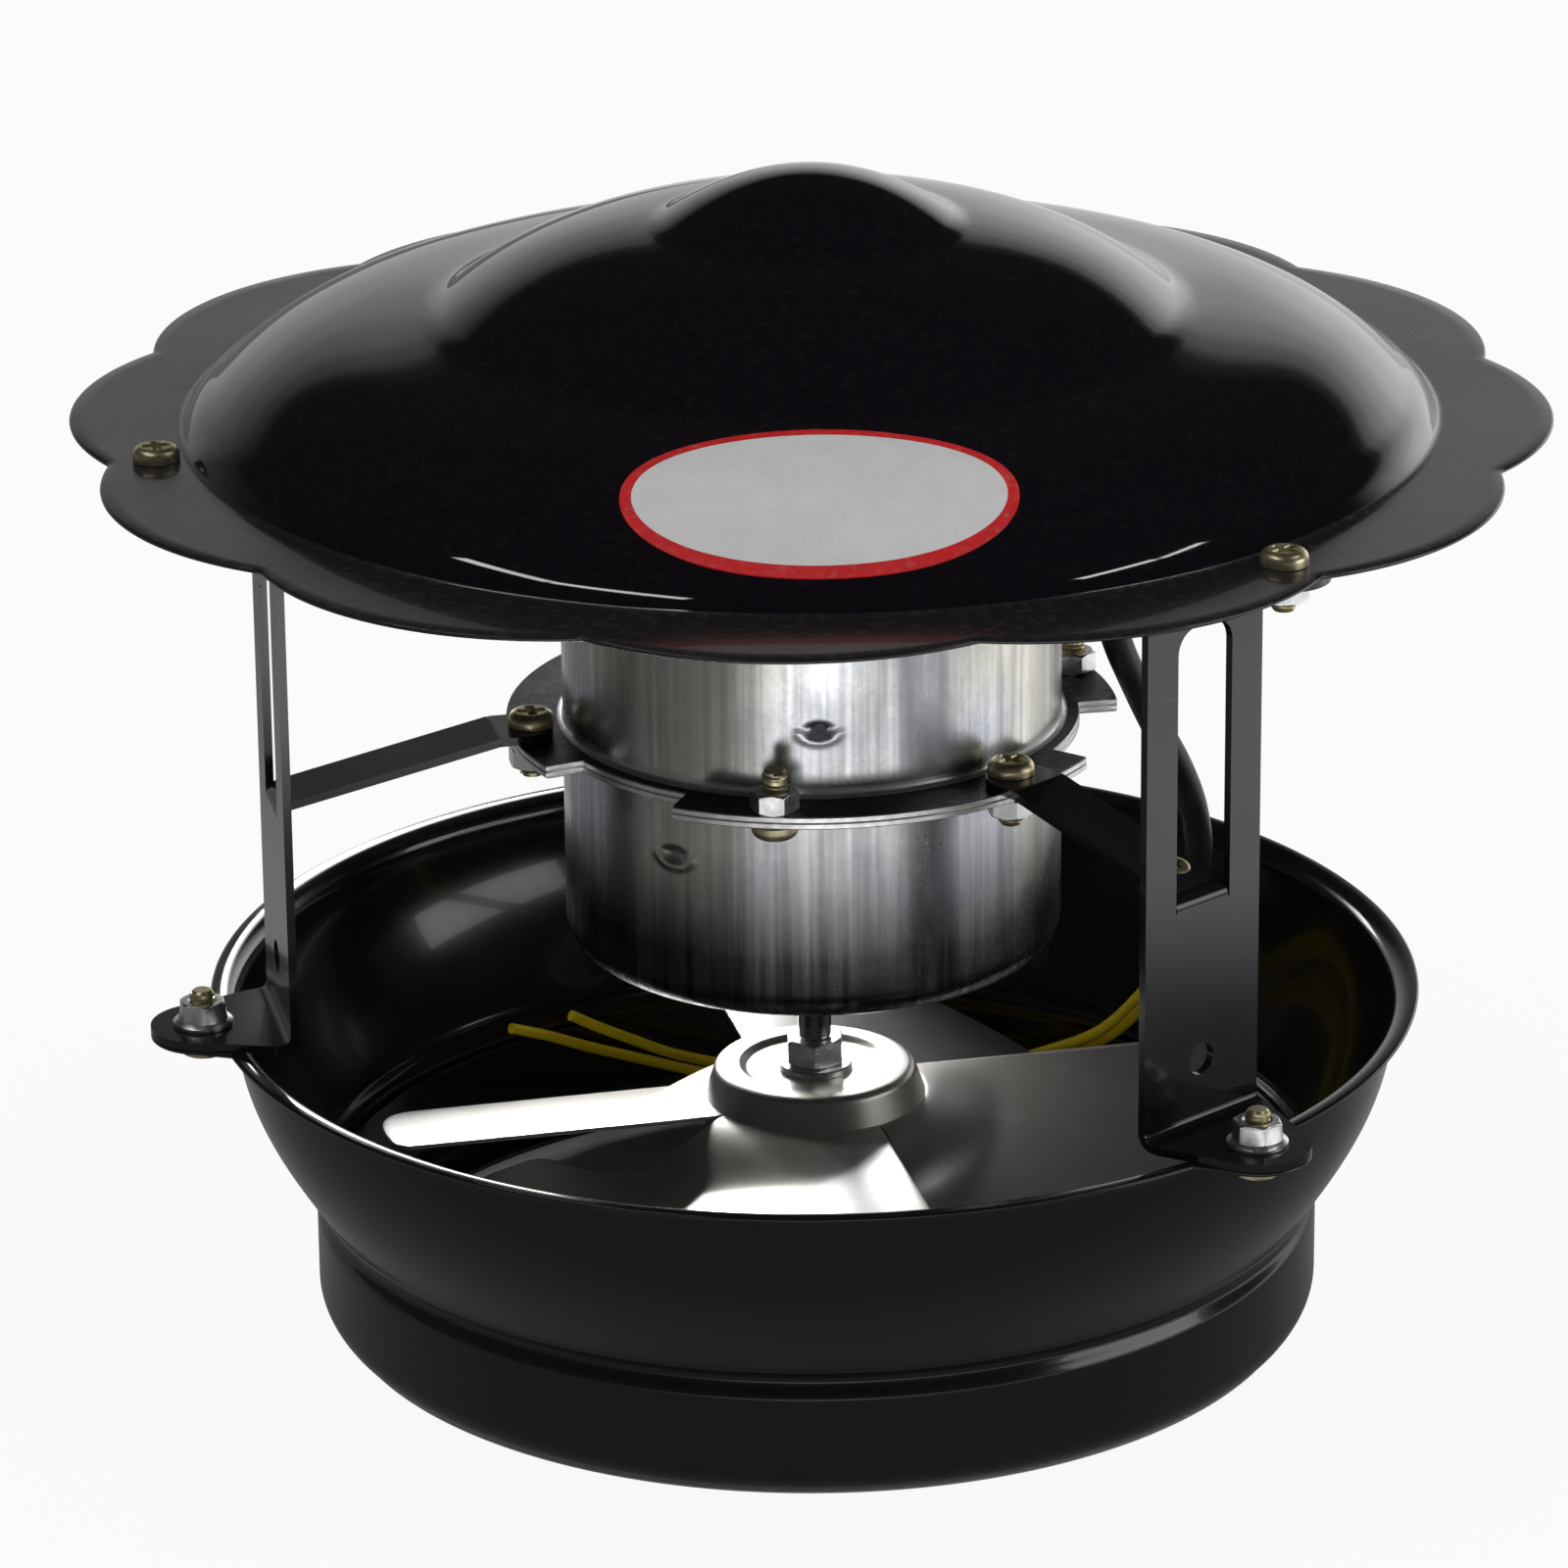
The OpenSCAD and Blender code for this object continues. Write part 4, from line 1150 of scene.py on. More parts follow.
@dataclass
class Cap:
    """The stamped rain cap: three domed tiers and a scalloped brim."""

    layout: Layout
    dome_height: float = 58.3
    dome_radius: float = 146.3
    fillet: float = 2.4
    tip_radius: float = 174.0
    notch_radius: float = 165.5
    scallops: int = 12
    waviness: float = 0.12
    label_azimuth: float = 271.0
    label_radius: float = 116.5
    label_half_width: float = 44.0
    label_half_depth: float = 24.5
    label_border: float = 2.6
    label_thickness: float = 0.3

    @property
    def outline(self) -> list[Point2]:
        """The dome's outer outline, from its top to where the brim is flat."""
        low = self.layout.brim_z
        top = low + self.dome_height
        first = (33.0, top - 10.6)
        second = (38.5, top - 12.7)
        third = (85.0, top - 30.8)
        fourth = (92.0, top - 33.6)
        fifth = (139.0, low + 8.2)
        side = (self.dome_radius, low + 1.2)
        foot = (self.dome_radius + self.fillet, low)
        return [*cubic((0.0, top), 0.0, first, -0.62, 18), *cubic(first, -0.62, second, -0.14, 8),
                *cubic(second, -0.14, third, -0.75, 20), *cubic(third, -0.75, fourth, -0.16, 8),
                *cubic(fourth, -0.16, fifth, -0.85, 22), *cubic(fifth, -0.85, side, -1.6, 8),
                *cubic(side, -1.6, foot, 0.0, 8), foot]

    def height_at(self, radius: float) -> float:
        """The height of the dome's outer face at a radius."""
        points = self.outline
        for (r0, z0), (r1, z1) in zip(points, points[1:]):
            if r0 <= radius <= r1:
                return z0 + (z1 - z0) * (radius - r0) / (r1 - r0)
        return points[-1][1]

    def edge_radius(self, azimuth: float) -> float:
        """The brim's outer radius at an azimuth, an arc for each scallop."""
        pitch = 360 / self.scallops
        half = self.notch_radius * math.sin(math.radians(pitch / 2))
        rise = self.tip_radius - self.notch_radius * math.cos(math.radians(pitch / 2))
        lobe = (half * half + rise * rise) / (2 * rise)
        centre = self.tip_radius - lobe
        angle = math.radians(away(azimuth, self.layout.leg_azimuth + pitch / 2) % pitch)
        if angle > math.radians(pitch / 2):
            angle -= math.radians(pitch)
        return centre * math.cos(angle) + math.sqrt(lobe**2 - (centre * math.sin(angle)) ** 2)

    def _wave(self, point: Vector) -> Vector:
        """Moves a point of the dome a little, as pressed sheet is never quite even."""
        radius = math.hypot(point.x, point.y)
        fade = smoothstep(2, 20, radius) * (1 - smoothstep(142, 150, radius))
        lift = self.waviness * fade * noise.noise(Vector((point.x, point.y, 0)) / 34)
        return point + Vector((0, 0, lift))

    def shell(self, finishes: Finishes) -> bpy.types.Object:
        """Builds the cap."""
        stack = RingStack(even_azimuths(self.scallops * 36, self.layout.leg_azimuth))
        outline = self.outline
        stack.add_outline(outline)
        top, low = self.layout.brim_z, self.layout.brim_z - self.layout.cap_thickness
        start = outline[-1][0]
        edge = self.layout.cap_thickness / 2

        def across(share: float, inset: float) -> RadiusRule:
            """A ring between the dome's foot and the scalloped edge."""
            return lambda azimuth: start + share * (self.edge_radius(azimuth) - inset - start)

        for share in (0.15, 0.35, 0.6, 0.85):
            stack.add(across(share, edge), top)
        for turn in (90, 60, 30, 0, -30, -60, -90):
            inset = edge * (1 - math.cos(math.radians(turn)))
            stack.add(across(1.0, inset), top - edge + edge * math.sin(math.radians(turn)))
        for share in (0.85, 0.6, 0.35, 0.15):
            stack.add(across(share, edge), low)
        stack.add_outline(reversed(moved(outline, -self.layout.cap_thickness)))
        piece = stack.build("cap_shell", closed=False, shift=self._wave)
        dress(piece, finishes["cap"], finishes["brim"])
        limit = (start - 2) * MM
        for face in piece.data.polygons:
            if math.hypot(face.center.x, face.center.y) > limit:
                face.material_index = 1
        return piece

    def label(self, finishes: Finishes) -> bpy.types.Object:
        """Builds the bare oval label with its red border, bent over the dome."""
        sides = 96
        inner = 1 - self.label_border / self.label_half_depth
        shares = [0.0, 0.25, 0.5, 0.75, inner, 1.0]
        azimuth = math.radians(self.label_azimuth)

        def spot(share: float, index: int, lift: float) -> Vector:
            """A point of the label, by its share of the half axes and its place round the oval."""
            turn = 2 * math.pi * index / sides
            wide = self.label_half_width * share
            if share == inner:
                wide = self.label_half_width - self.label_border
            out = self.label_radius + self.label_half_depth * share * math.cos(turn)
            side = wide * math.sin(turn)
            radius = math.hypot(out, side)
            angle = azimuth + math.atan2(side, out)
            point = Vector((radius * math.cos(angle), radius * math.sin(angle), self.height_at(radius)))
            return (self._wave(point) + Vector((0, 0, lift))) * MM

        rings = [(share, self.label_thickness) for share in shares] + [(1.0, 0.04), (0.0, 0.04)]
        points = [spot(share, k, lift) for share, lift in rings for k in range(sides)]
        faces = []
        for i in range(len(rings) - 1):
            for k in range(sides):
                n = (k + 1) % sides
                faces.append((i * sides + k, i * sides + n, (i + 1) * sides + n, (i + 1) * sides + k))
        mesh = bpy.data.meshes.new("oval_label")
        mesh.from_pydata(points, [], faces)
        close_mesh(mesh)
        smooth(mesh)
        piece = add_object("oval_label", mesh)
        dress(piece, finishes["label"], finishes["border"])
        middle = Vector((self.label_radius * math.cos(azimuth), self.label_radius * math.sin(azimuth)))
        outwards = middle.normalized()
        for face in mesh.polygons:
            step = face.center.to_2d() / MM - middle
            out, side = step.dot(outwards), step.x * outwards.y - step.y * outwards.x
            if math.hypot(out / (self.label_half_depth - self.label_border),
                          side / (self.label_half_width - self.label_border)) > 1:
                face.material_index = 1
        return piece

    def build(self, finishes: Finishes) -> None:
        """Builds and mounts the cap and its label."""
        mount(self.shell(finishes), Body.FRAME, "black_gloss", "cap")
        mount(self.label(finishes), Body.FRAME, "label_film", "rating_label")


@dataclass
class Basin:
    """The pressed basin: spigot, groove, flaring bowl and a lip with three lugs."""

    layout: Layout
    spigot_radius: float = 121.4
    spigot_top: float = 25.0
    foot_round: float = 8.0
    foot_return: float = 3.0
    groove_depth: float = 1.6
    groove_z: float = 30.0
    bowl_radius: float = 139.8
    rim_radius: float = 145.4
    thickness: float = 1.2
    lug_width: float = 34.4
    lug_end_radius: float = 12.5

    @property
    def outline(self) -> list[Point2]:
        """The outer outline from the foot return to the start of the lip's flat."""
        r = self.spigot_radius
        foot = (r - self.foot_round, self.foot_round)
        points = [(foot[0] - self.foot_return, 0.0), *arc(foot, self.foot_round, -90, 0, 14)]
        points += [(r, z) for z in (12.0, 17.0, 21.0, self.spigot_top)]
        step = (self.groove_z - self.spigot_top) / 10
        points += [(r - self.groove_depth * (1 - math.cos(math.radians(18 * i))) / 2,
                    self.spigot_top + step * i) for i in range(1, 11)]
        points += [(r - self.groove_depth + (self.groove_depth + 0.8)
                    * (1 - math.cos(math.radians(22.5 * i))) / 2, self.groove_z + 3.5 * i / 8)
                   for i in range(1, 9)]
        low, high = self.groove_z + 3.5, self.layout.rim_z - 5
        for i in range(1, 27):
            t = i / 26
            flare = math.sin(math.radians(90 * t**0.92)) ** 1.25
            points.append((r + 0.8 + (self.bowl_radius - r - 0.8) * flare, low + (high - low) * t**1.1))
        points += arc((self.bowl_radius + 3.8, high), 3.8, 180, 90, 8)[1:]
        return points

    def edge_radius(self, azimuth: float) -> float:
        """The lip's outer radius at an azimuth, which grows to a rounded lug at each leg."""
        return max([self.rim_radius]
                   + [self._lug(math.radians(away(azimuth, leg))) for leg in self.layout.leg_azimuths])

    def _lug(self, angle: float) -> float:
        """The reach of one lug at an angle from its middle."""
        bolt, end = self.layout.foot_circle, self.lug_end_radius
        side = bolt * math.sin(angle)
        reach = 0.0
        if abs(side) < end:
            reach = bolt * math.cos(angle) + math.sqrt(end * end - side * side)
        base = (self.bowl_radius + 2.5, self.lug_width / 2)
        lean = math.asin((base[1] - end) / math.hypot(bolt - base[0], base[1] - end))
        tip = (bolt + end * math.sin(lean), end * math.cos(lean))
        direction = (math.cos(abs(angle)), math.sin(abs(angle)))
        across = (tip[0] - base[0]) * direction[1] - (tip[1] - base[1]) * direction[0]
        if abs(across) > 1e-9:
            share = (base[1] * direction[0] - base[0] * direction[1]) / across
            if 0 <= share <= 1:
                reach = max(reach, math.hypot(base[0] + share * (tip[0] - base[0]),
                                              base[1] + share * (tip[1] - base[1])))
        return reach

    def build(self, finishes: Finishes) -> None:
        """Builds and mounts the basin."""
        azimuths = finer_near(even_azimuths(360), self.layout.leg_azimuths, 8.0, 0.25)
        stack = RingStack(azimuths)
        outline = self.outline
        stack.add_outline(outline)
        top, low = self.layout.rim_z, self.layout.rim_z - self.thickness
        start = outline[-1][0]
        edge = self.thickness / 2

        def across(share: float, inset: float) -> RadiusRule:
            """A ring between the bend and the edge of the lip."""
            return lambda azimuth: start + share * (self.edge_radius(azimuth) - inset - start)

        inner = moved(outline, self.thickness)
        inner[-1] = (start, top)
        for share in (0.4, 0.8):
            stack.add(across(share, edge), low)
        for turn in (-90, -60, -30, 0, 30, 60, 90):
            inset = edge * (1 - math.cos(math.radians(turn)))
            stack.add(across(1.0, inset), top - edge + edge * math.sin(math.radians(turn)))
        for share in (0.8, 0.4):
            stack.add(across(share, edge), top)
        stack.add_outline(reversed(inner))
        piece = stack.build("basin_shell", closed=True)
        dress(piece, finishes["basin"])
        mount(piece, Body.FRAME, "black_enamel", "basin")


@dataclass
class Legs:
    """Three slotted strips, each with an arm bent inwards out of its slot."""

    layout: Layout
    radius: float = 130.5
    width: float = 36.6
    bend: float = 3.0
    slot_width: float = 17.2
    arm_width: float = 16.4
    slot_low: float = 136.9
    slot_high: float = 204.6
    hole_z: float = 99.2
    hole_radius: float = 3.9
    foot_end: float = 12.5
    top_end: float = 10.5
    arm_knee: float = 139.2
    arm_flat: float = 77.0
    arm_end: float = 62.9
    edge: float = 0.35

    def _strip_path(self) -> RoundedPath:
        """The middle line of the strip, from the foot tab's end to the upper tab's end."""
        half = self.layout.leg_thickness / 2
        middle = self.radius - half
        low, high = self.layout.rim_z + half, self.layout.top_tab_z + half
        return RoundedPath([(self.layout.foot_circle + self.foot_end, low), (middle, low),
                            (middle, high), (self.layout.brim_circle + self.top_end, high)], self.bend)

    def _arm_path(self) -> RoundedPath:
        """The middle line of the arm, from the slot's lower end to its flat end."""
        flat = self.layout.arm_top_z - self.layout.leg_thickness / 2
        middle = self.radius - self.layout.leg_thickness / 2
        return RoundedPath([(middle, self.slot_low), (middle, self.arm_knee),
                            (self.arm_flat, flat), (self.arm_end, flat)], self.bend * 0.95)

    def _outline(self, path: RoundedPath) -> list[Point2]:
        """The strip's blank: a full-width strip between two tapered, round-ended tabs."""
        half = self.width / 2
        knee = self.bend + 1
        loop: list[Point2] = []
        for end, length, sign in ((self.foot_end, self.layout.foot_circle, -1),
                                  (self.top_end, self.layout.brim_circle, 1)):
            base = length - (self.radius + knee)
            lean = math.degrees(math.asin((half - end) / math.hypot(base, half - end)))
            if sign < 0:
                loop += arc((end, 0), end, 90 + lean, 270 - lean, 20)
                loop += [(end + base, -half)]
            else:
                far = path.length - end
                loop += [(far - base, -half)]
                loop += arc((far, 0), end, -90 + lean, 90 - lean, 20)
                loop += [(far - base, half)]
        loop += [(self.foot_end + self.layout.foot_circle - (self.radius + knee), half)]
        return loop

    def _kerf(self, low: float, high: float) -> list[Point2]:
        """The cut round the tongue: the slot outside and the tongue's edge inside."""
        wide, narrow, corner = self.slot_width / 2, self.arm_width / 2, self.slot_width / 3
        end = high - 2.5
        loop = [(low, -wide), (high - corner, -wide)]
        loop += arc((high - corner, -wide + corner), corner, -90, 0, 8)[1:]
        loop += arc((high - corner, wide - corner), corner, 0, 90, 8)
        loop += [(low, wide), (low, narrow)]
        loop += arc((end - narrow, 0), narrow, 90, -90, 20)
        loop += [(low, -narrow)]
        return loop

    def leg(self, name: str, azimuth: float, finish: bpy.types.Material) -> bpy.types.Object:
        """Builds one leg.

        Args:
            name: The object's name.
            azimuth: The leg's azimuth.
            finish: Its material.

        Returns:
            The leg.
        """
        path, arm = self._strip_path(), self._arm_path()
        low = path.mark_at(1, self.slot_low)
        high = path.mark_at(1, self.slot_high)
        end, narrow = high - 2.5, self.arm_width / 2
        stretch = arm.length / (end - low)
        hole = path.mark_at(1, self.hole_z)
        blank = SheetBlank()
        blank.cut(self._outline(path))
        blank.cut(self._kerf(low, high))
        blank.cut(arc((hole, 0), self.hole_radius, 0, 345, 23))
        blank.fill()
        blank.score(path.bend_rows)
        blank.score([low + row / stretch for row in arm.bend_rows])
        turn = Matrix.Rotation(math.radians(azimuth), 3, "Z")

        def place(along: float, side: float) -> Vector:
            """Where a point of the flat blank ends up."""
            reach = end - narrow + math.sqrt(max(narrow**2 - side**2, 0.0)) + 0.2
            if abs(side) < narrow + 0.1 and low - 1e-4 < along < reach:
                flat = arm.at((along - low) * stretch)
            else:
                flat = path.at(along)
            return turn @ Vector((flat.x, side, flat.y))

        blank.bend(place)
        piece = blank.build(name, self.layout.leg_thickness, self.edge)
        dress(piece, finish)
        return piece

    def build(self, finishes: Finishes) -> None:
        """Builds and mounts the three legs."""
        names = (("right_leg", "leg_right"), ("rear_leg", "leg_rear"), ("left_leg", "leg_left"))
        for (name, node), azimuth in zip(names, self.layout.leg_azimuths):
            mount(self.leg(name, azimuth, finishes["leg"]), Body.FRAME, "black_enamel", node)


@dataclass(frozen=True)
class Dent:
    """A small staking mark pressed into a shell."""

    azimuth: float
    z: float
    depth: float = 1.0
    half_width: float = 4.5
    half_height: float = 2.6


@dataclass
class Motor:
    """The two drawn shells of the motor, with their lobed flanges."""

    layout: Layout
    radius: float = 59.4
    depth: float = 55.5
    corner: float = 7.0
    foot: float = 1.4
    flange_radius: float = 63.7
    lobe_radius: float = 73.0
    lobe_angle: float = 89.0
    opening: float = 5.5
    dents: tuple[Dent, ...] = (Dent(237.0, 132.0), Dent(271.5, 166.0))

    @property
    def lobe_azimuths(self) -> list[float]:
        """The azimuths of the lobes' middles."""
        return [a - self.layout.lobe_bolt_angle / 2 for a in self.layout.leg_azimuths]

    def edge_radius(self, azimuth: float) -> float:
        """The flange's outer radius at an azimuth, with short slanted ends on each lobe."""
        reach = min(abs(away(azimuth, lobe)) for lobe in self.lobe_azimuths)
        share = 1 - smoothstep(self.lobe_angle / 2 - 0.6, self.lobe_angle / 2 + 0.6, reach)
        return self.flange_radius + share * (self.lobe_radius - self.flange_radius)

    def _press(self, point: Vector) -> Vector:
        """Presses the staking marks into the wall."""
        radius = math.hypot(point.x, point.y)
        if radius < self.radius - 3 or radius > self.radius + 0.1:
            return point
        azimuth = math.degrees(math.atan2(point.y, point.x))
        for dent in self.dents:
            side = math.radians(away(azimuth, dent.azimuth)) * self.radius / dent.half_width
            rise = (point.z - dent.z) / dent.half_height
            far = math.hypot(side, rise)
            if far < 1.6:
                push = dent.depth * math.exp(-2.6 * far * far) * (1.25 if rise > 0 else 0.8)
                lip = 0.35 * math.exp(-9 * (far - 1.0) ** 2) * (1 if rise < 0 else 0.3)
                point = point.copy()
                point.xy *= (radius - push + lip) / radius
        return point

    def shell(self, name: str, sign: int, finishes: Finishes) -> bpy.types.Object:
        """Builds one shell.

        Args:
            name: The object's name.
            sign: 1 for the upper shell and -1 for the lower one.
            finishes: The finishes.

        Returns:
            The shell.
        """
        t = self.layout.shell_thickness
        base = self.layout.joint_z + sign * t
        high = self.depth - t
        wall_top = high - self.corner
        wall = [(self.radius, self.foot + (wall_top - self.foot) * i / 60) for i in range(61)]
        outline = [*arc((self.radius + self.foot, self.foot), self.foot, 270, 180, 6), *wall,
                   *arc((self.radius - self.corner, wall_top), self.corner, 0, 90, 12)[1:],
                   (self.radius * 0.7, high), (self.radius * 0.5, high - 0.0), (20.0, high),
                   (self.opening, high)]
        azimuths = finer_near(even_azimuths(360), [d.azimuth for d in self.dents], 6.0, 0.35)
        ends = [lobe + s * self.lobe_angle / 2 for lobe in self.lobe_azimuths for s in (-1, 1)]
        azimuths = finer_near(azimuths, ends, 1.4, 0.2)
        stack = RingStack(azimuths)
        inner = moved(outline, t)
        edge = 0.25

        def across(inset: float) -> RadiusRule:
            """A ring at the flange's edge."""
            return lambda azimuth: self.edge_radius(azimuth) - inset

        stack.add(across(edge), base)
        for r, z in outline:
            stack.add(r, base + sign * z)
        for r, z in reversed(inner):
            stack.add(r, base + sign * z)
        stack.add(across(edge), base - sign * t)
        stack.add(across(0), base - sign * (t - edge))
        stack.add(across(0), base - sign * edge)
        piece = stack.build(name, closed=True, shift=self._press)
        dress(piece, finishes["shell"], finishes["cut"], finishes["flange"])
        fillet_top = (self.foot + 0.5) * MM
        for face in piece.data.polygons:
            radius = math.hypot(face.center.x, face.center.y)
            rise = sign * (face.center.z - base * MM)
            if radius > (self.radius + self.foot) * MM:
                # The flange's edges take the cut-edge finish; its flat faces take the dark flange finish, a
                # painted reflection of the cap's dark underside.
                face.material_index = 1 if abs(face.normal.z) < 0.9 else 2
            # Painted highlight: the upper shell's foot fillet gets the bright cut-edge finish as a bright
            # band.
            elif sign > 0 and 0 < rise < fillet_top and radius > (self.radius - 0.2) * MM:
                face.material_index = 1
        return piece

    def build(self, finishes: Finishes) -> None:
        """Builds and mounts both shells."""
        mount(self.shell("upper_shell", 1, finishes), Body.FRAME, "galvanised_sheet",
              "motor_shell_upper")
        mount(self.shell("lower_shell", -1, finishes), Body.FRAME, "galvanised_sheet",
              "motor_shell_lower")


@dataclass
class Fan:
    """The one-piece sheet fan: a pressed hub and four pitched, curved blades."""

    layout: Layout
    tip_radius: float = 105.0
    hub_z: float = 59.0
    hub_radius: float = 24.7
    dish_radius: float = 17.5
    dish_depth: float = 1.2
    thickness: float = 1.0
    bore: float = 4.02
    blades: int = 4
    blade_azimuth: float = 245.0
    lead_angle: float = 38.0
    lead_offset: float = 10.0
    root_angle: float = 30.0
    trail_angle: float = 76.0
    pitch: float = 9.0
    curve_radius: float = 240.0
    root_drop: float = 7.5
    corner_drop: float = 0.26
    corner_angle: float = 26.0

    def hub(self) -> bpy.types.Object:
        """Builds the hub with its dish, raised ring and skirt."""
        dish = self.hub_z - self.dish_depth
        ring = self.hub_radius - 2.2
        skirt = (self.hub_radius + 3.6, self.hub_z - 11.8)
        outline = [(self.bore, dish), (10.0, dish), *cubic((self.dish_radius - 1.2, dish), 0.0,
                                                         (self.dish_radius + 1.2, self.hub_z), 0.0, 8),
                   (self.dish_radius + 1.2, self.hub_z),
                   *arc((ring, self.hub_z - 2.2), 2.2, 90, 8, 8), skirt]
        stack = RingStack(even_azimuths(144))
        stack.add_outline(outline)
        stack.add_outline(reversed(moved(outline, -self.thickness)))
        return stack.build("hub_part", closed=True)

    def _height(self, x: float, y: float) -> float:
        """The height of a blade's face, which bends down with the distance from the leading edge."""
        turn = math.radians(self.lead_angle)
        across = self.lead_offset + x * math.sin(turn) - y * math.cos(turn)
        return (self.hub_z - self.root_drop - across * math.tan(math.radians(self.pitch))
                - across**2 / (2 * self.curve_radius))

    def _span(self, radius: float) -> tuple[float, float]:
        """The angles of the trailing and the leading edge at a radius, about the blade's middle."""
        low = -self.root_angle - (self.trail_angle - self.root_angle) * smoothstep(28, 72, radius)
        return low, self.lead_angle + math.degrees(math.asin(self.lead_offset / radius))

    def _tip(self, angle: float) -> float:
        """The blade's outer radius at an angle from its middle, rounded at both corners."""
        low, high = self._span(self.tip_radius)
        share = min(max((low + self.corner_angle - angle) / self.corner_angle, 0.0), 1.0)
        front = min(max((angle - high + 3.0) / 3.0, 0.0), 1.0)
        cut = self.corner_drop * (1 - math.sqrt(1 - share * share * 0.985))
        cut += 0.03 * (1 - math.sqrt(1 - front * front * 0.985))
        return self.tip_radius * (1 - cut)

    def blade(self) -> bpy.types.Object:
        """Builds one blade about +X, with its thickness and rounded edges."""
        rows, columns = 44, 72
        root = self.hub_radius + 1.4
        root_z = self.hub_z - 7.5
        work = bmesh.new()
        grid = []
        for j in range(columns + 1):
            low, high = self._span(self.tip_radius)
            tip = self._tip(low + (high - low) * j / columns)
            line = []
            for i in range(rows + 1):
                radius = root + (tip - root) * i / rows
                low, high = self._span(radius)
                angle = math.radians(low + (high - low) * j / columns)
                x, y = radius * math.cos(angle), radius * math.sin(angle)
                share = smoothstep(root, root + 20, radius)
                z = root_z + (self._height(x, y) - root_z) * share
                line.append(work.verts.new(Vector((x, y, z - self.thickness / 2)) * MM))
            grid.append(line)
        for a, b in zip(grid, grid[1:]):
            for i in range(rows):
                work.faces.new((a[i], a[i + 1], b[i + 1], b[i]))
        mesh = bpy.data.meshes.new("blade_part")
        work.to_mesh(mesh)
        work.free()
        mesh.polygons.foreach_set("use_smooth", [True] * len(mesh.polygons))
        piece = add_object("blade_part", mesh)
        wall = piece.modifiers.new("wall", "SOLIDIFY")
        wall.thickness = self.thickness * MM
        wall.offset = 0.0
        bevel = piece.modifiers.new("edge", "BEVEL")
        bevel.width = 0.25 * MM
        bevel.segments = 2
        bevel.limit_method = "ANGLE"
        bevel.angle_limit = math.radians(60)
        return baked(piece)

    def build(self, finishes: Finishes, circle: BoltCircle) -> None:
        """Builds and mounts the fan."""
        hub = self.hub()
        dress(hub, finishes["fan"])
        blades = circle.repeat("blade_set", self.blade(), finishes["fan"], count=self.blades,
                               start=self.blade_azimuth, step=360 / self.blades)
        piece = join_meshes("fan_wheel", [hub, blades])
        smooth(piece.data, 40)
        mount(piece, Body.ROTOR, "bright_sheet", "fan")


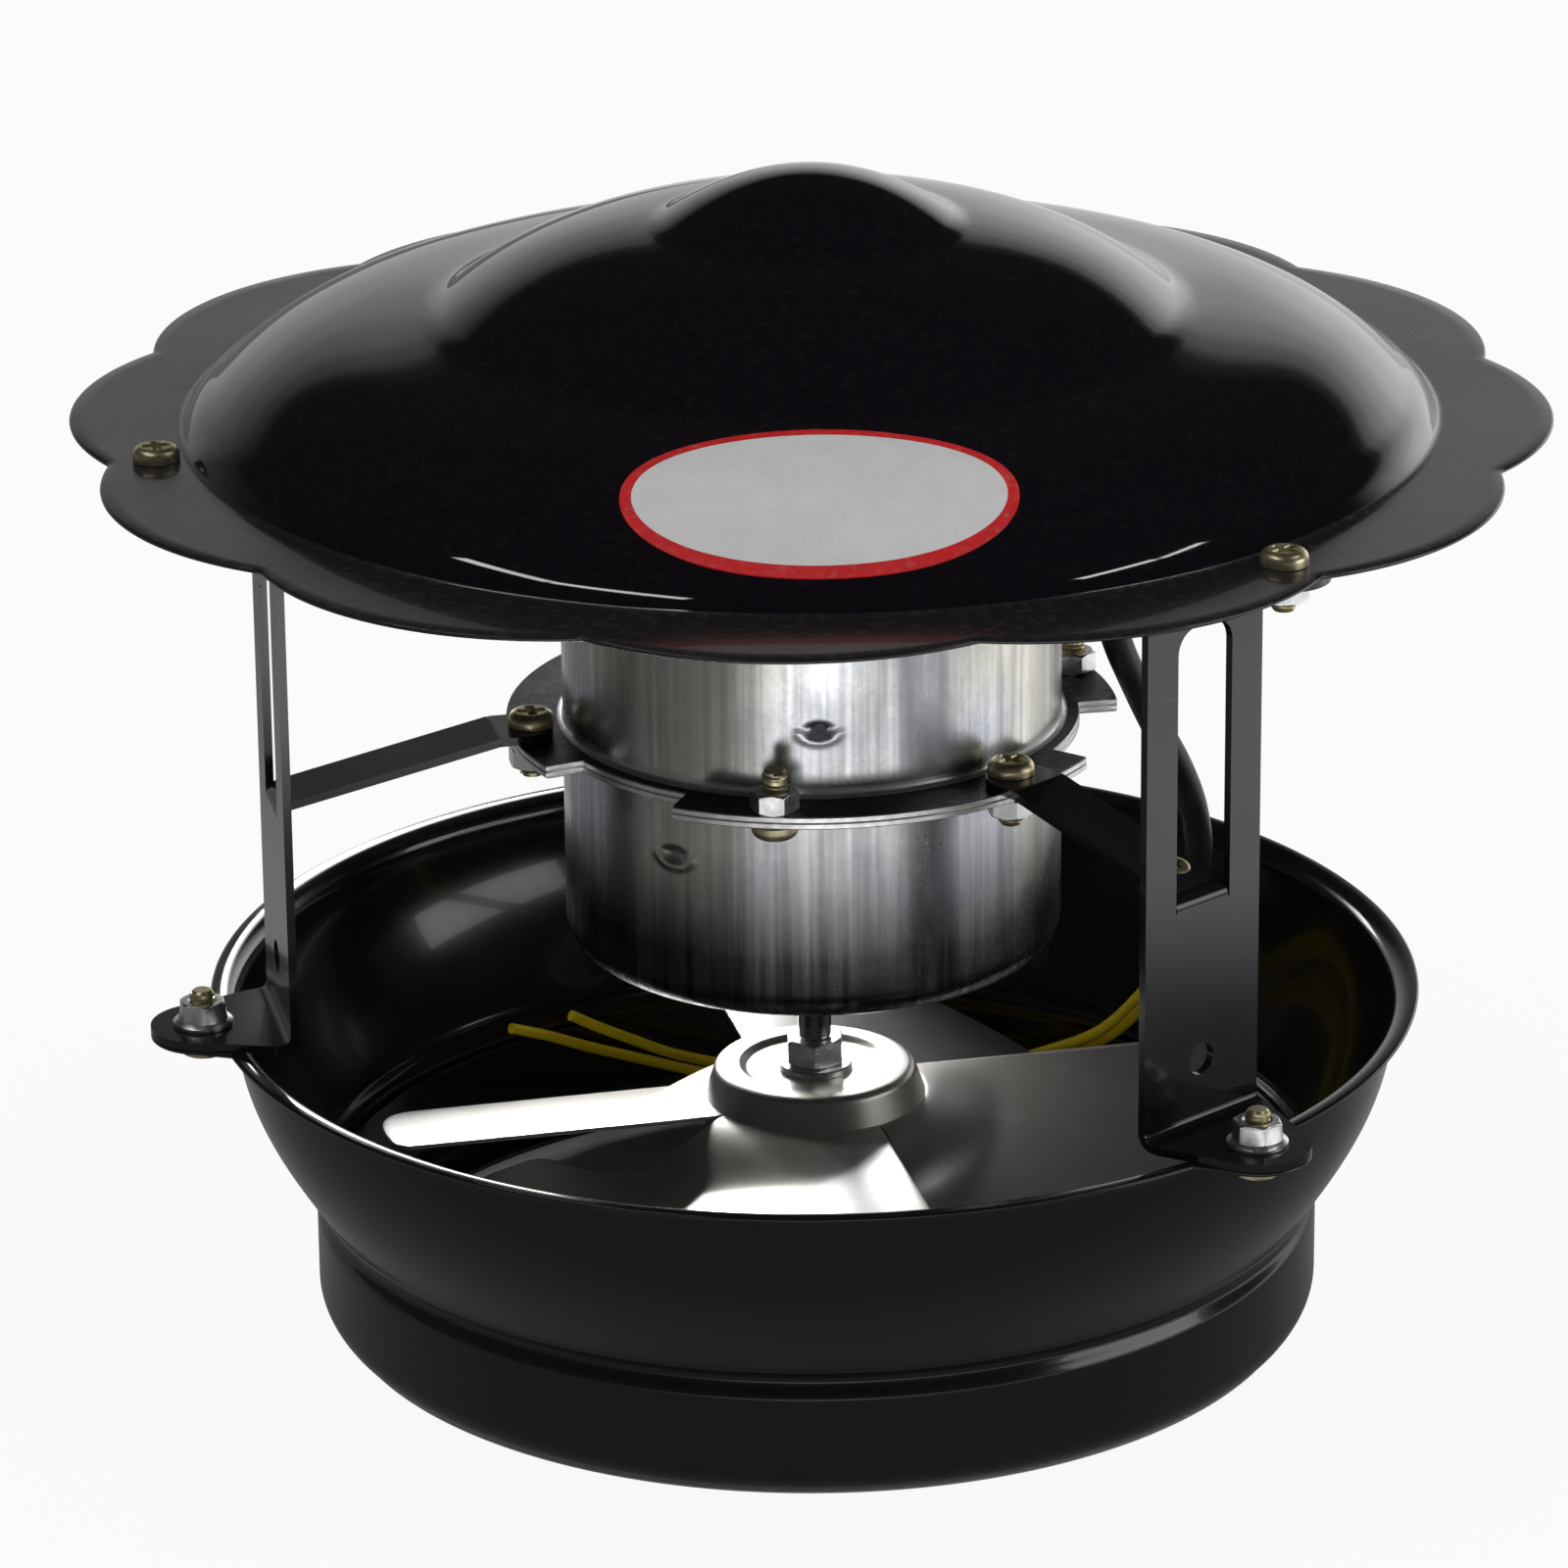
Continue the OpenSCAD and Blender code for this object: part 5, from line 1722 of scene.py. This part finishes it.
@dataclass
class Fasteners:
    """Nuts, screws and washers, made once each and repeated by Geometry Nodes."""

    layout: Layout
    circle: BoltCircle
    thread: Thread
    screw_radius: float = 3.0
    nut_flats: float = 10.0
    nut_height: float = 5.0
    pan_radius: float = 5.5
    pan_height: float = 3.6
    end_length: float = 5.0
    pitch: float = 1.0

    @staticmethod
    def _hexagon(flats: float, azimuth: float) -> float:
        """The radius of a hexagon, with flats facing the axis, at an azimuth."""
        return flats / 2 / math.cos(math.radians((azimuth + 30) % 60 - 30))

    def nut(self, flats: float, height: float, bore: float, skirt: float = 0.0,
            one_side: bool = False) -> bpy.types.Object:
        """Builds a chamfered nut.

        Args:
            flats: The width across flats.
            height: The nut's height.
            bore: The thread's radius.
            skirt: The radius of a flange at its foot, or 0.
            one_side: Whether only the upper end is chamfered.

        Returns:
            The nut, seated at z = 0.
        """
        stack = RingStack(even_azimuths(96))
        slope = math.tan(math.radians(28))

        def level(z: float, from_end: float) -> None:
            """Adds a ring that the end's chamfer cone may cut back."""
            cone = flats / 2 * 0.97 + from_end / slope
            stack.add(lambda azimuth: min(self._hexagon(flats, azimuth), cone), z)

        stack.add(bore, 0.0)
        if skirt:
            for r, z in ((skirt - 0.2, 0.0), (skirt, 0.2), (skirt, 0.9), (skirt - 0.3, 1.2),
                         (flats / 2 + 0.9, 1.7)):
                stack.add(r, z)
        elif one_side:
            level(0.0, height)
        else:
            for z in (0.0, 0.12, 0.25, 0.4, 0.6, 0.8):
                level(z, z)
        for z in (0.8, 0.6, 0.4, 0.25, 0.12, 0.0):
            level(height - z, z)
        for r, z in ((bore + 0.55, height), (bore, height - 0.55)):
            stack.add(r, z)
        return stack.build("nut_part", closed=True, angle=28)

    def shank(self, radius: float, low: float, high: float, finish: bpy.types.Material,
              pitch: float) -> bpy.types.Object:
        """Builds a threaded rod with chamfered ends about Z."""
        core = radius - pitch * 0.45
        stack = RingStack(even_azimuths(32))
        stack.add_outline([(0.0, low), (core - 0.3, low), (core, low + 0.4), (core, high - 0.5),
                           (core - 0.5, high), (0.0, high)])
        rod = stack.build("rod_part", closed=False)
        dress(rod, finish)
        ridge = self.thread.wind("ridge_part", radius, pitch, low + pitch * 0.6, high - pitch * 0.7,
                                 finish)
        return join_meshes("shank_part", [rod, ridge])

    def pan_head(self, radius: float, height: float) -> bpy.types.Object:
        """Builds a pan head with a cross recess, seated at z = 0."""
        stack = RingStack(even_azimuths(96))
        curve = height * 0.62
        outline = [(0.0, 0.0), (radius - 0.2, 0.0), (radius, 0.2)]
        outline += arc((radius - curve, height - curve), curve, 0, 80, 8)
        top = outline[-1][0]
        outline += [(top * (1 - i / 26), height - 0.06 + 0.06 * i / 26) for i in range(1, 27)]
        stack.add_outline(outline)

        def recess(point: Vector) -> Vector:
            """Sinks the cross into the head."""
            wide, narrow = max(abs(point.x), abs(point.y)), min(abs(point.x), abs(point.y))
            share = 1 - smoothstep(radius * 0.11, radius * 0.2, narrow)
            share *= 1 - smoothstep(radius * 0.48, radius * 0.62, wide)
            if point.z < height * 0.5:
                return point
            return point - Vector((0, 0, share * height * 0.5))

        return stack.build("head_part", closed=False, shift=recess)

    def _whole(self, head: bpy.types.Object, low: float, high: float,
               finish: bpy.types.Material) -> bpy.types.Object:
        """Joins a head and its shank."""
        dress(head, finish)
        piece = join_meshes("screw_part", [head, self.shank(self.screw_radius, low, high, finish,
                                                            self.pitch)])
        smooth(piece.data)
        return piece

    def build(self, finishes: Finishes) -> None:
        """Builds and mounts every fastener."""
        lay, circle = self.layout, self.circle
        white, yellow = finishes["white_zinc"], finishes["yellow_zinc"]
        first = lay.leg_azimuth
        under_flange = lay.joint_z - lay.shell_thickness
        over_flange = lay.joint_z + lay.shell_thickness
        shell_first = first - lay.lobe_bolt_angle

        through = lay.brim_z - lay.top_tab_z + self.nut_height + self.end_length / 2
        screw = self._whole(self.pan_head(self.pan_radius, self.pan_height), -through, 0.5, yellow)
        mount(circle.repeat("brim_screws", screw, yellow, radius=lay.brim_circle, height=lay.brim_z,
                            start=first), Body.FRAME, "yellow_zinc", "cap_screws")
        nut = self.nut(self.nut_flats, self.nut_height, self.screw_radius)
        plan = (("brim_nuts", "cap_nuts", lay.brim_circle, lay.top_tab_z - self.nut_height, first),
                ("under_arm_nuts", "arm_nuts", lay.lobe_circle, under_flange - self.nut_height, first),
                ("shell_top_nuts", "shell_nuts", lay.lobe_circle, over_flange, shell_first))
        for name, node, radius, height, start in plan:
            mount(circle.repeat(name, nut, white, radius=radius, height=height, start=start, keep=True),
                  Body.FRAME, "white_zinc", node)
        bpy.data.objects.remove(nut)

        stack = lay.arm_top_z - under_flange
        screw = self._whole(self.pan_head(self.pan_radius, self.pan_height),
                            -(stack + self.nut_height + self.end_length / 2), 0.5, yellow)
        mount(circle.repeat("arm_pan_screws", screw, yellow, radius=lay.lobe_circle,
                            height=lay.arm_top_z, start=first), Body.FRAME, "yellow_zinc", "arm_screws")
        stack = over_flange - under_flange
        screw = self._whole(self.pan_head(self.pan_radius, self.pan_height),
                            -(stack + self.nut_height + self.end_length), 0.5, yellow)
        mount(circle.repeat("shell_pan_screws", screw, yellow, radius=lay.lobe_circle,
                            height=under_flange, start=shell_first, turned_over=True),
              Body.FRAME, "yellow_zinc", "shell_screws")

        flange_nut = self.nut(self.nut_flats, 6.0, self.screw_radius, skirt=7.1)
        mount(circle.repeat("foot_nuts", flange_nut, white, radius=lay.foot_circle,
                            height=lay.tab_top_z, start=first), Body.FRAME, "white_zinc",
              "foot_flange_nuts")
        head = self.nut(self.nut_flats, 4.0, 0.6, one_side=True)
        head.data.transform(Matrix.Rotation(math.pi, 4, "X"))
        bolt = self._whole(head, -0.5, lay.tab_top_z + 8.6 - (lay.rim_z - 1.2), yellow)
        mount(circle.repeat("foot_hex_bolts", bolt, yellow, radius=lay.foot_circle,
                            height=lay.rim_z - 1.2, start=first), Body.FRAME, "yellow_zinc", "foot_bolts")


@dataclass
class HubHardware:
    """The nuts and washers that clamp the fan to the shaft."""

    layout: Layout
    fasteners: Fasteners
    dish_z: float = 57.8
    sheet: float = 1.0
    washer_radius: float = 9.0
    washer_height: float = 1.6
    bore: float = 4.02
    nut_flats: float = 13.0
    nut_height: float = 6.5

    def build(self, finishes: Finishes) -> None:
        """Builds and mounts the washers and nuts."""
        nuts, washers = [], []
        places = ((self.dish_z, 1), (self.dish_z - self.sheet, -1))
        for z, sign in places:
            stack = RingStack(even_azimuths(72))
            for r, h in ((self.bore, 0.0), (self.washer_radius - 0.2, 0.0), (self.washer_radius, 0.2),
                         (self.washer_radius, self.washer_height - 0.3),
                         (self.washer_radius - 0.3, self.washer_height),
                         (self.bore, self.washer_height)):
                stack.add(r, z + sign * h)
            washer = stack.build("washer_part", closed=True)
            dress(washer, finishes["white_zinc"])
            washers.append(washer)
            nut = self.fasteners.nut(self.nut_flats, self.nut_height, self.bore)
            low = z + self.washer_height if sign > 0 else z - self.washer_height - self.nut_height
            nut.data.transform(Matrix.Translation((0, 0, low * MM)))
            dress(nut, finishes["white_zinc"])
            nuts.append(nut)
        for name, parts, node in (("hub_washers", washers, "fan_washers"), ("hub_nuts", nuts, "fan_nuts")):
            piece = join_meshes(name, parts)
            smooth(piece.data, 28)
            mount(piece, Body.ROTOR, "white_zinc", node)


@dataclass
class KeptNodes:
    """The frame's own pieces that stay as they are and only get a finish."""

    finish_of: dict[str, str] = field(default_factory=lambda: {
        "stator_core": "core", "stator_windings": "copper", "rotor_core": "core", "shaft": "steel",
        "bearing_outer_lower": "steel", "bearing_inner_lower": "steel",
        "bearing_outer_upper": "steel", "bearing_inner_upper": "steel", "bearing_balls": "steel",
        "earth_screw": "yellow_zinc", "earth_nut": "white_zinc", "cable_grommet": "rubber"})

    def build(self, nodes: dict[str, bpy.types.Object], finishes: Finishes) -> None:
        """Gives each node its finish."""
        for name, finish in self.finish_of.items():
            for slot in nodes[name].material_slots:
                slot.material = finishes[finish]
            LOG.info("%s keeps its shape and gets %s", name, finish)


@dataclass
class Studio:
    """A pale floor, soft lamps and the camera of the photograph."""

    picture: float = 1600.0
    sensor: float = 36.0
    focal: float = 7809.2
    elevation: float = 20.679
    azimuth: float = 0.228
    distance: float = 1829.0
    roll: float = -0.56
    aim: tuple[float, float, float] = (-6.84, 0.0, 130.82)
    floor_size: float = 12.0
    duct_radius: float = 0.117
    fill: float = 0.55
    backdrop_strength: float = 1.6
    backdrop: tuple[Point2, ...] = ((-180, 0.02), (28, 0.02), (42, 0.75), (52, 1.0), (62, 0.88), (76, 0.66),
                                    (90, 0.42), (106, 0.3), (121, 0.2), (131, 0.06), (150, 0.02))
    falloff: tuple[Point2, ...] = ((0, 1.0), (9, 0.95), (14, 0.74), (18, 0.52), (21, 0.28), (23.5, 0.03),
                                   (25, 0.0))

    def camera(self) -> None:
        """Makes the camera and the scene's view settings."""
        data = bpy.data.cameras.new("camera")
        data.sensor_width = self.sensor
        data.lens = self.focal / self.picture * self.sensor
        data.clip_end = 50.0
        camera = bpy.data.objects.new("camera", data)
        bpy.context.scene.collection.objects.link(camera)
        rise, side = math.radians(self.elevation), math.radians(self.azimuth)
        away_from = Vector((math.sin(side) * math.cos(rise), -math.cos(side) * math.cos(rise),
                            math.sin(rise)))
        target = Vector(self.aim) * MM
        camera.location = target + away_from * self.distance * MM
        look = (-away_from).to_track_quat("-Z", "Y")
        tilt = Matrix.Rotation(math.radians(self.roll), 4, "Z")
        camera.matrix_world = Matrix.Translation(camera.location) @ look.to_matrix().to_4x4() @ tilt
        bpy.context.scene.camera = camera
        bpy.context.scene.view_settings.view_transform = "Standard"

    def floor(self) -> None:
        """Makes the floor, which a camera or a mirror sees as near white."""
        half = self.floor_size / 2
        mesh = bpy.data.meshes.new("floor")
        mesh.from_pydata([(-half, -half, 0), (half, -half, 0), (half, half, 0), (-half, half, 0)], [],
                         [(0, 1, 2, 3)])
        material = bpy.data.materials.new("pale floor")
        material.use_nodes = True
        graph = NodeTree(material.node_tree)
        shader = graph.tree.nodes["Principled BSDF"]
        shader.inputs["Base Color"].default_value = (0.86, 0.86, 0.86, 1.0)
        shader.inputs["Roughness"].default_value = 0.9
        shader.inputs["Specular IOR Level"].default_value = 0.0
        glow = graph.node("ShaderNodeEmission")
        path = graph.node("ShaderNodeLightPath").outputs
        place = graph.node("ShaderNodeSeparateXYZ")
        graph.feed(place.inputs[0], graph.node("ShaderNodeTexCoord").outputs["Object"])
        spread = graph.node("ShaderNodeVectorMath", operation="LENGTH")
        graph.feed(spread.inputs[0], place.inputs[0].links[0].from_socket)
        left = graph.math("ADD", self._band(graph, place.outputs["X"], -0.32, -0.05, 0.9), 0.1)
        back = graph.math("MULTIPLY", self._band(graph, place.outputs["Y"], -0.05, 0.4, 0.61), left)
        ring = graph.math("SUBTRACT", self._band(graph, spread.outputs["Value"], 0.36, 0.48, 1.0),
                          self._band(graph, spread.outputs["Value"], 0.7, 0.9, 0.8))
        side = graph.math("SUBTRACT", self._band(graph, place.outputs["X"], -0.35, -0.02, 2.2),
                          self._band(graph, place.outputs["X"], 0.02, 0.35, 1.1))
        front = self._band(graph, place.outputs["Y"], 0.3, 0.1, 1.0)
        near = graph.math("MULTIPLY", graph.math("MULTIPLY", ring, side), front)
        mirrored = graph.math("ADD", graph.math("ADD", back, near), 0.13)
        seen = graph.node("ShaderNodeMix")
        graph.feed(seen.inputs[0], path["Is Glossy Ray"])
        seen.inputs[2].default_value = 1.0
        graph.feed(seen.inputs[3], mirrored)
        graph.feed(glow.inputs["Strength"], seen.outputs[0])
        share = graph.math("MAXIMUM", graph.math("MULTIPLY", path["Is Camera Ray"], 0.92),
                           path["Is Glossy Ray"])
        share = graph.math("MULTIPLY", share,
                           graph.math("GREATER_THAN", spread.outputs["Value"], self.duct_radius))
        mixer = graph.node("ShaderNodeMixShader")
        graph.feed(mixer.inputs[0], share)
        graph.feed(mixer.inputs[1], shader.outputs[0])
        graph.feed(mixer.inputs[2], glow.outputs[0])
        graph.feed(graph.tree.nodes["Material Output"].inputs["Surface"], mixer.outputs[0])
        mesh.materials.append(material)
        add_object("floor", mesh)

    @staticmethod
    def _band(graph: NodeTree, value: bpy.types.NodeSocket, low: float, high: float,
              top: float) -> bpy.types.NodeSocket:
        """Rises smoothly from 0 at one value to the top at another."""
        band = graph.node("ShaderNodeMapRange", interpolation_type="SMOOTHSTEP")
        graph.feed(band.inputs["Value"], value)
        for label, number in (("From Min", low), ("From Max", high), ("To Min", 0.0), ("To Max", top)):
            band.inputs[label].default_value = number
        return band.outputs[0]

    @staticmethod
    def _ramp(graph: NodeTree, value: bpy.types.NodeSocket,
              stops: Sequence[tuple[float, float]]) -> bpy.types.NodeSocket:
        """Maps a value from 0 to 1 through grey stops."""
        made = graph.node("ShaderNodeValToRGB")
        graph.feed(made.inputs[0], value)
        band = made.color_ramp
        band.interpolation = "EASE"
        while len(band.elements) < len(stops):
            band.elements.new(0.5)
        for element, (place, grey) in zip(band.elements, stops):
            element.position = place
            element.color = (grey, grey, grey, 1.0)
        return made.outputs[0]

    def world(self) -> None:
        """Makes the room: a bright low backdrop behind, dark elsewhere for mirrors, and soft light."""
        world = bpy.data.worlds.new("studio")
        bpy.context.scene.world = world
        world.use_nodes = True
        graph = NodeTree(world.node_tree)
        direction = graph.node("ShaderNodeSeparateXYZ")
        graph.feed(direction.inputs[0], graph.node("ShaderNodeTexCoord").outputs["Generated"])
        turn = graph.math("ARCTAN2", direction.outputs["Y"], direction.outputs["X"])
        turn = graph.math("ADD", graph.math("DIVIDE", turn, 2 * math.pi), 0.5)
        around = self._ramp(graph, turn, [((azimuth + 180) / 360, grey) for azimuth, grey in self.backdrop])
        upwards = self._ramp(graph, graph.math("MAXIMUM", direction.outputs["Z"], 0.0),
                             [(math.sin(math.radians(rise)), grey) for rise, grey in self.falloff])
        mirrored = graph.math("MULTIPLY", graph.math("MULTIPLY", around, upwards), self.backdrop_strength)
        path = graph.node("ShaderNodeLightPath").outputs
        seen = graph.node("ShaderNodeMix")
        graph.feed(seen.inputs[0], path["Is Glossy Ray"])
        seen.inputs[2].default_value = self.fill
        graph.feed(seen.inputs[3], graph.math("ADD", mirrored, 0.012))
        shown = graph.node("ShaderNodeMix")
        graph.feed(shown.inputs[0], path["Is Camera Ray"])
        graph.feed(shown.inputs[2], seen.outputs[0])
        shown.inputs[3].default_value = 1.0
        background = graph.tree.nodes["Background"]
        background.inputs["Color"].default_value = (1.0, 1.0, 1.0, 1.0)
        graph.feed(background.inputs["Strength"], shown.outputs[0])

    def lamp(self, name: str, place: tuple[float, float, float], size: tuple[float, float],
             power: float, target: tuple[float, float, float] = (0.0, 0.0, 0.14),
             spread: float = 180.0) -> None:
        """Hangs a soft rectangular lamp.

        Args:
            name: The lamp's name.
            place: Where it hangs, in metres.
            size: Its width and height in metres.
            power: Its power in watts.
            target: The point that it faces.
            spread: The angle of its beam in degrees.
        """
        data = bpy.data.lights.new(name, "AREA")
        data.spread = math.radians(spread)
        data.shape = "RECTANGLE"
        data.size, data.size_y = size
        data.energy = power
        lamp = bpy.data.objects.new(name, data)
        bpy.context.scene.collection.objects.link(lamp)
        lamp.location = place
        lamp.visible_camera = False
        lamp.rotation_euler = (Vector(target) - Vector(place)).to_track_quat("-Z", "Y").to_euler()

    def build(self) -> None:
        """Builds the whole set."""
        self.camera()
        self.floor()
        self.world()
        self.lamp("left_high_0", (-1.05, -0.19, 1.7), (0.62, 0.09), 1.4)
        self.lamp("left_high_1", (-0.77, -0.75, 1.72), (0.67, 0.09), 1.6)
        self.lamp("right_high_0", (1.14, -0.35, 1.64), (0.48, 0.07), 1.0)
        self.lamp("right_high_1", (1.2, 0.08, 1.6), (0.36, 0.05), 0.5)
        self.lamp("right_low", (2.3, -0.7, 0.5), (1.6, 0.8), 9.0)
        self.lamp("rear_low", (-0.065, 0.19, 0.14), (0.15, 0.05), 0.065, (-0.01, 0.0, 0.05), 64.0)


def main() -> None:
    """Builds every sub-assembly in order."""
    logging.basicConfig(level=logging.INFO, format="%(name)s: %(message)s")
    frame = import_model()
    layout = Layout()
    Studio().build()
    finishes = Finishes()
    Cables().build(finishes)
    circle, thread = BoltCircle(), Thread()
    Cap(layout).build(finishes)
    Basin(layout).build(finishes)
    Legs(layout).build(finishes)
    Motor(layout).build(finishes)
    Fan(layout).build(finishes, circle)
    fasteners = Fasteners(layout, circle, thread)
    fasteners.build(finishes)
    HubHardware(layout, fasteners).build(finishes)
    KeptNodes().build(frame["nodes"], finishes)


if __name__ == "__main__":
    main()
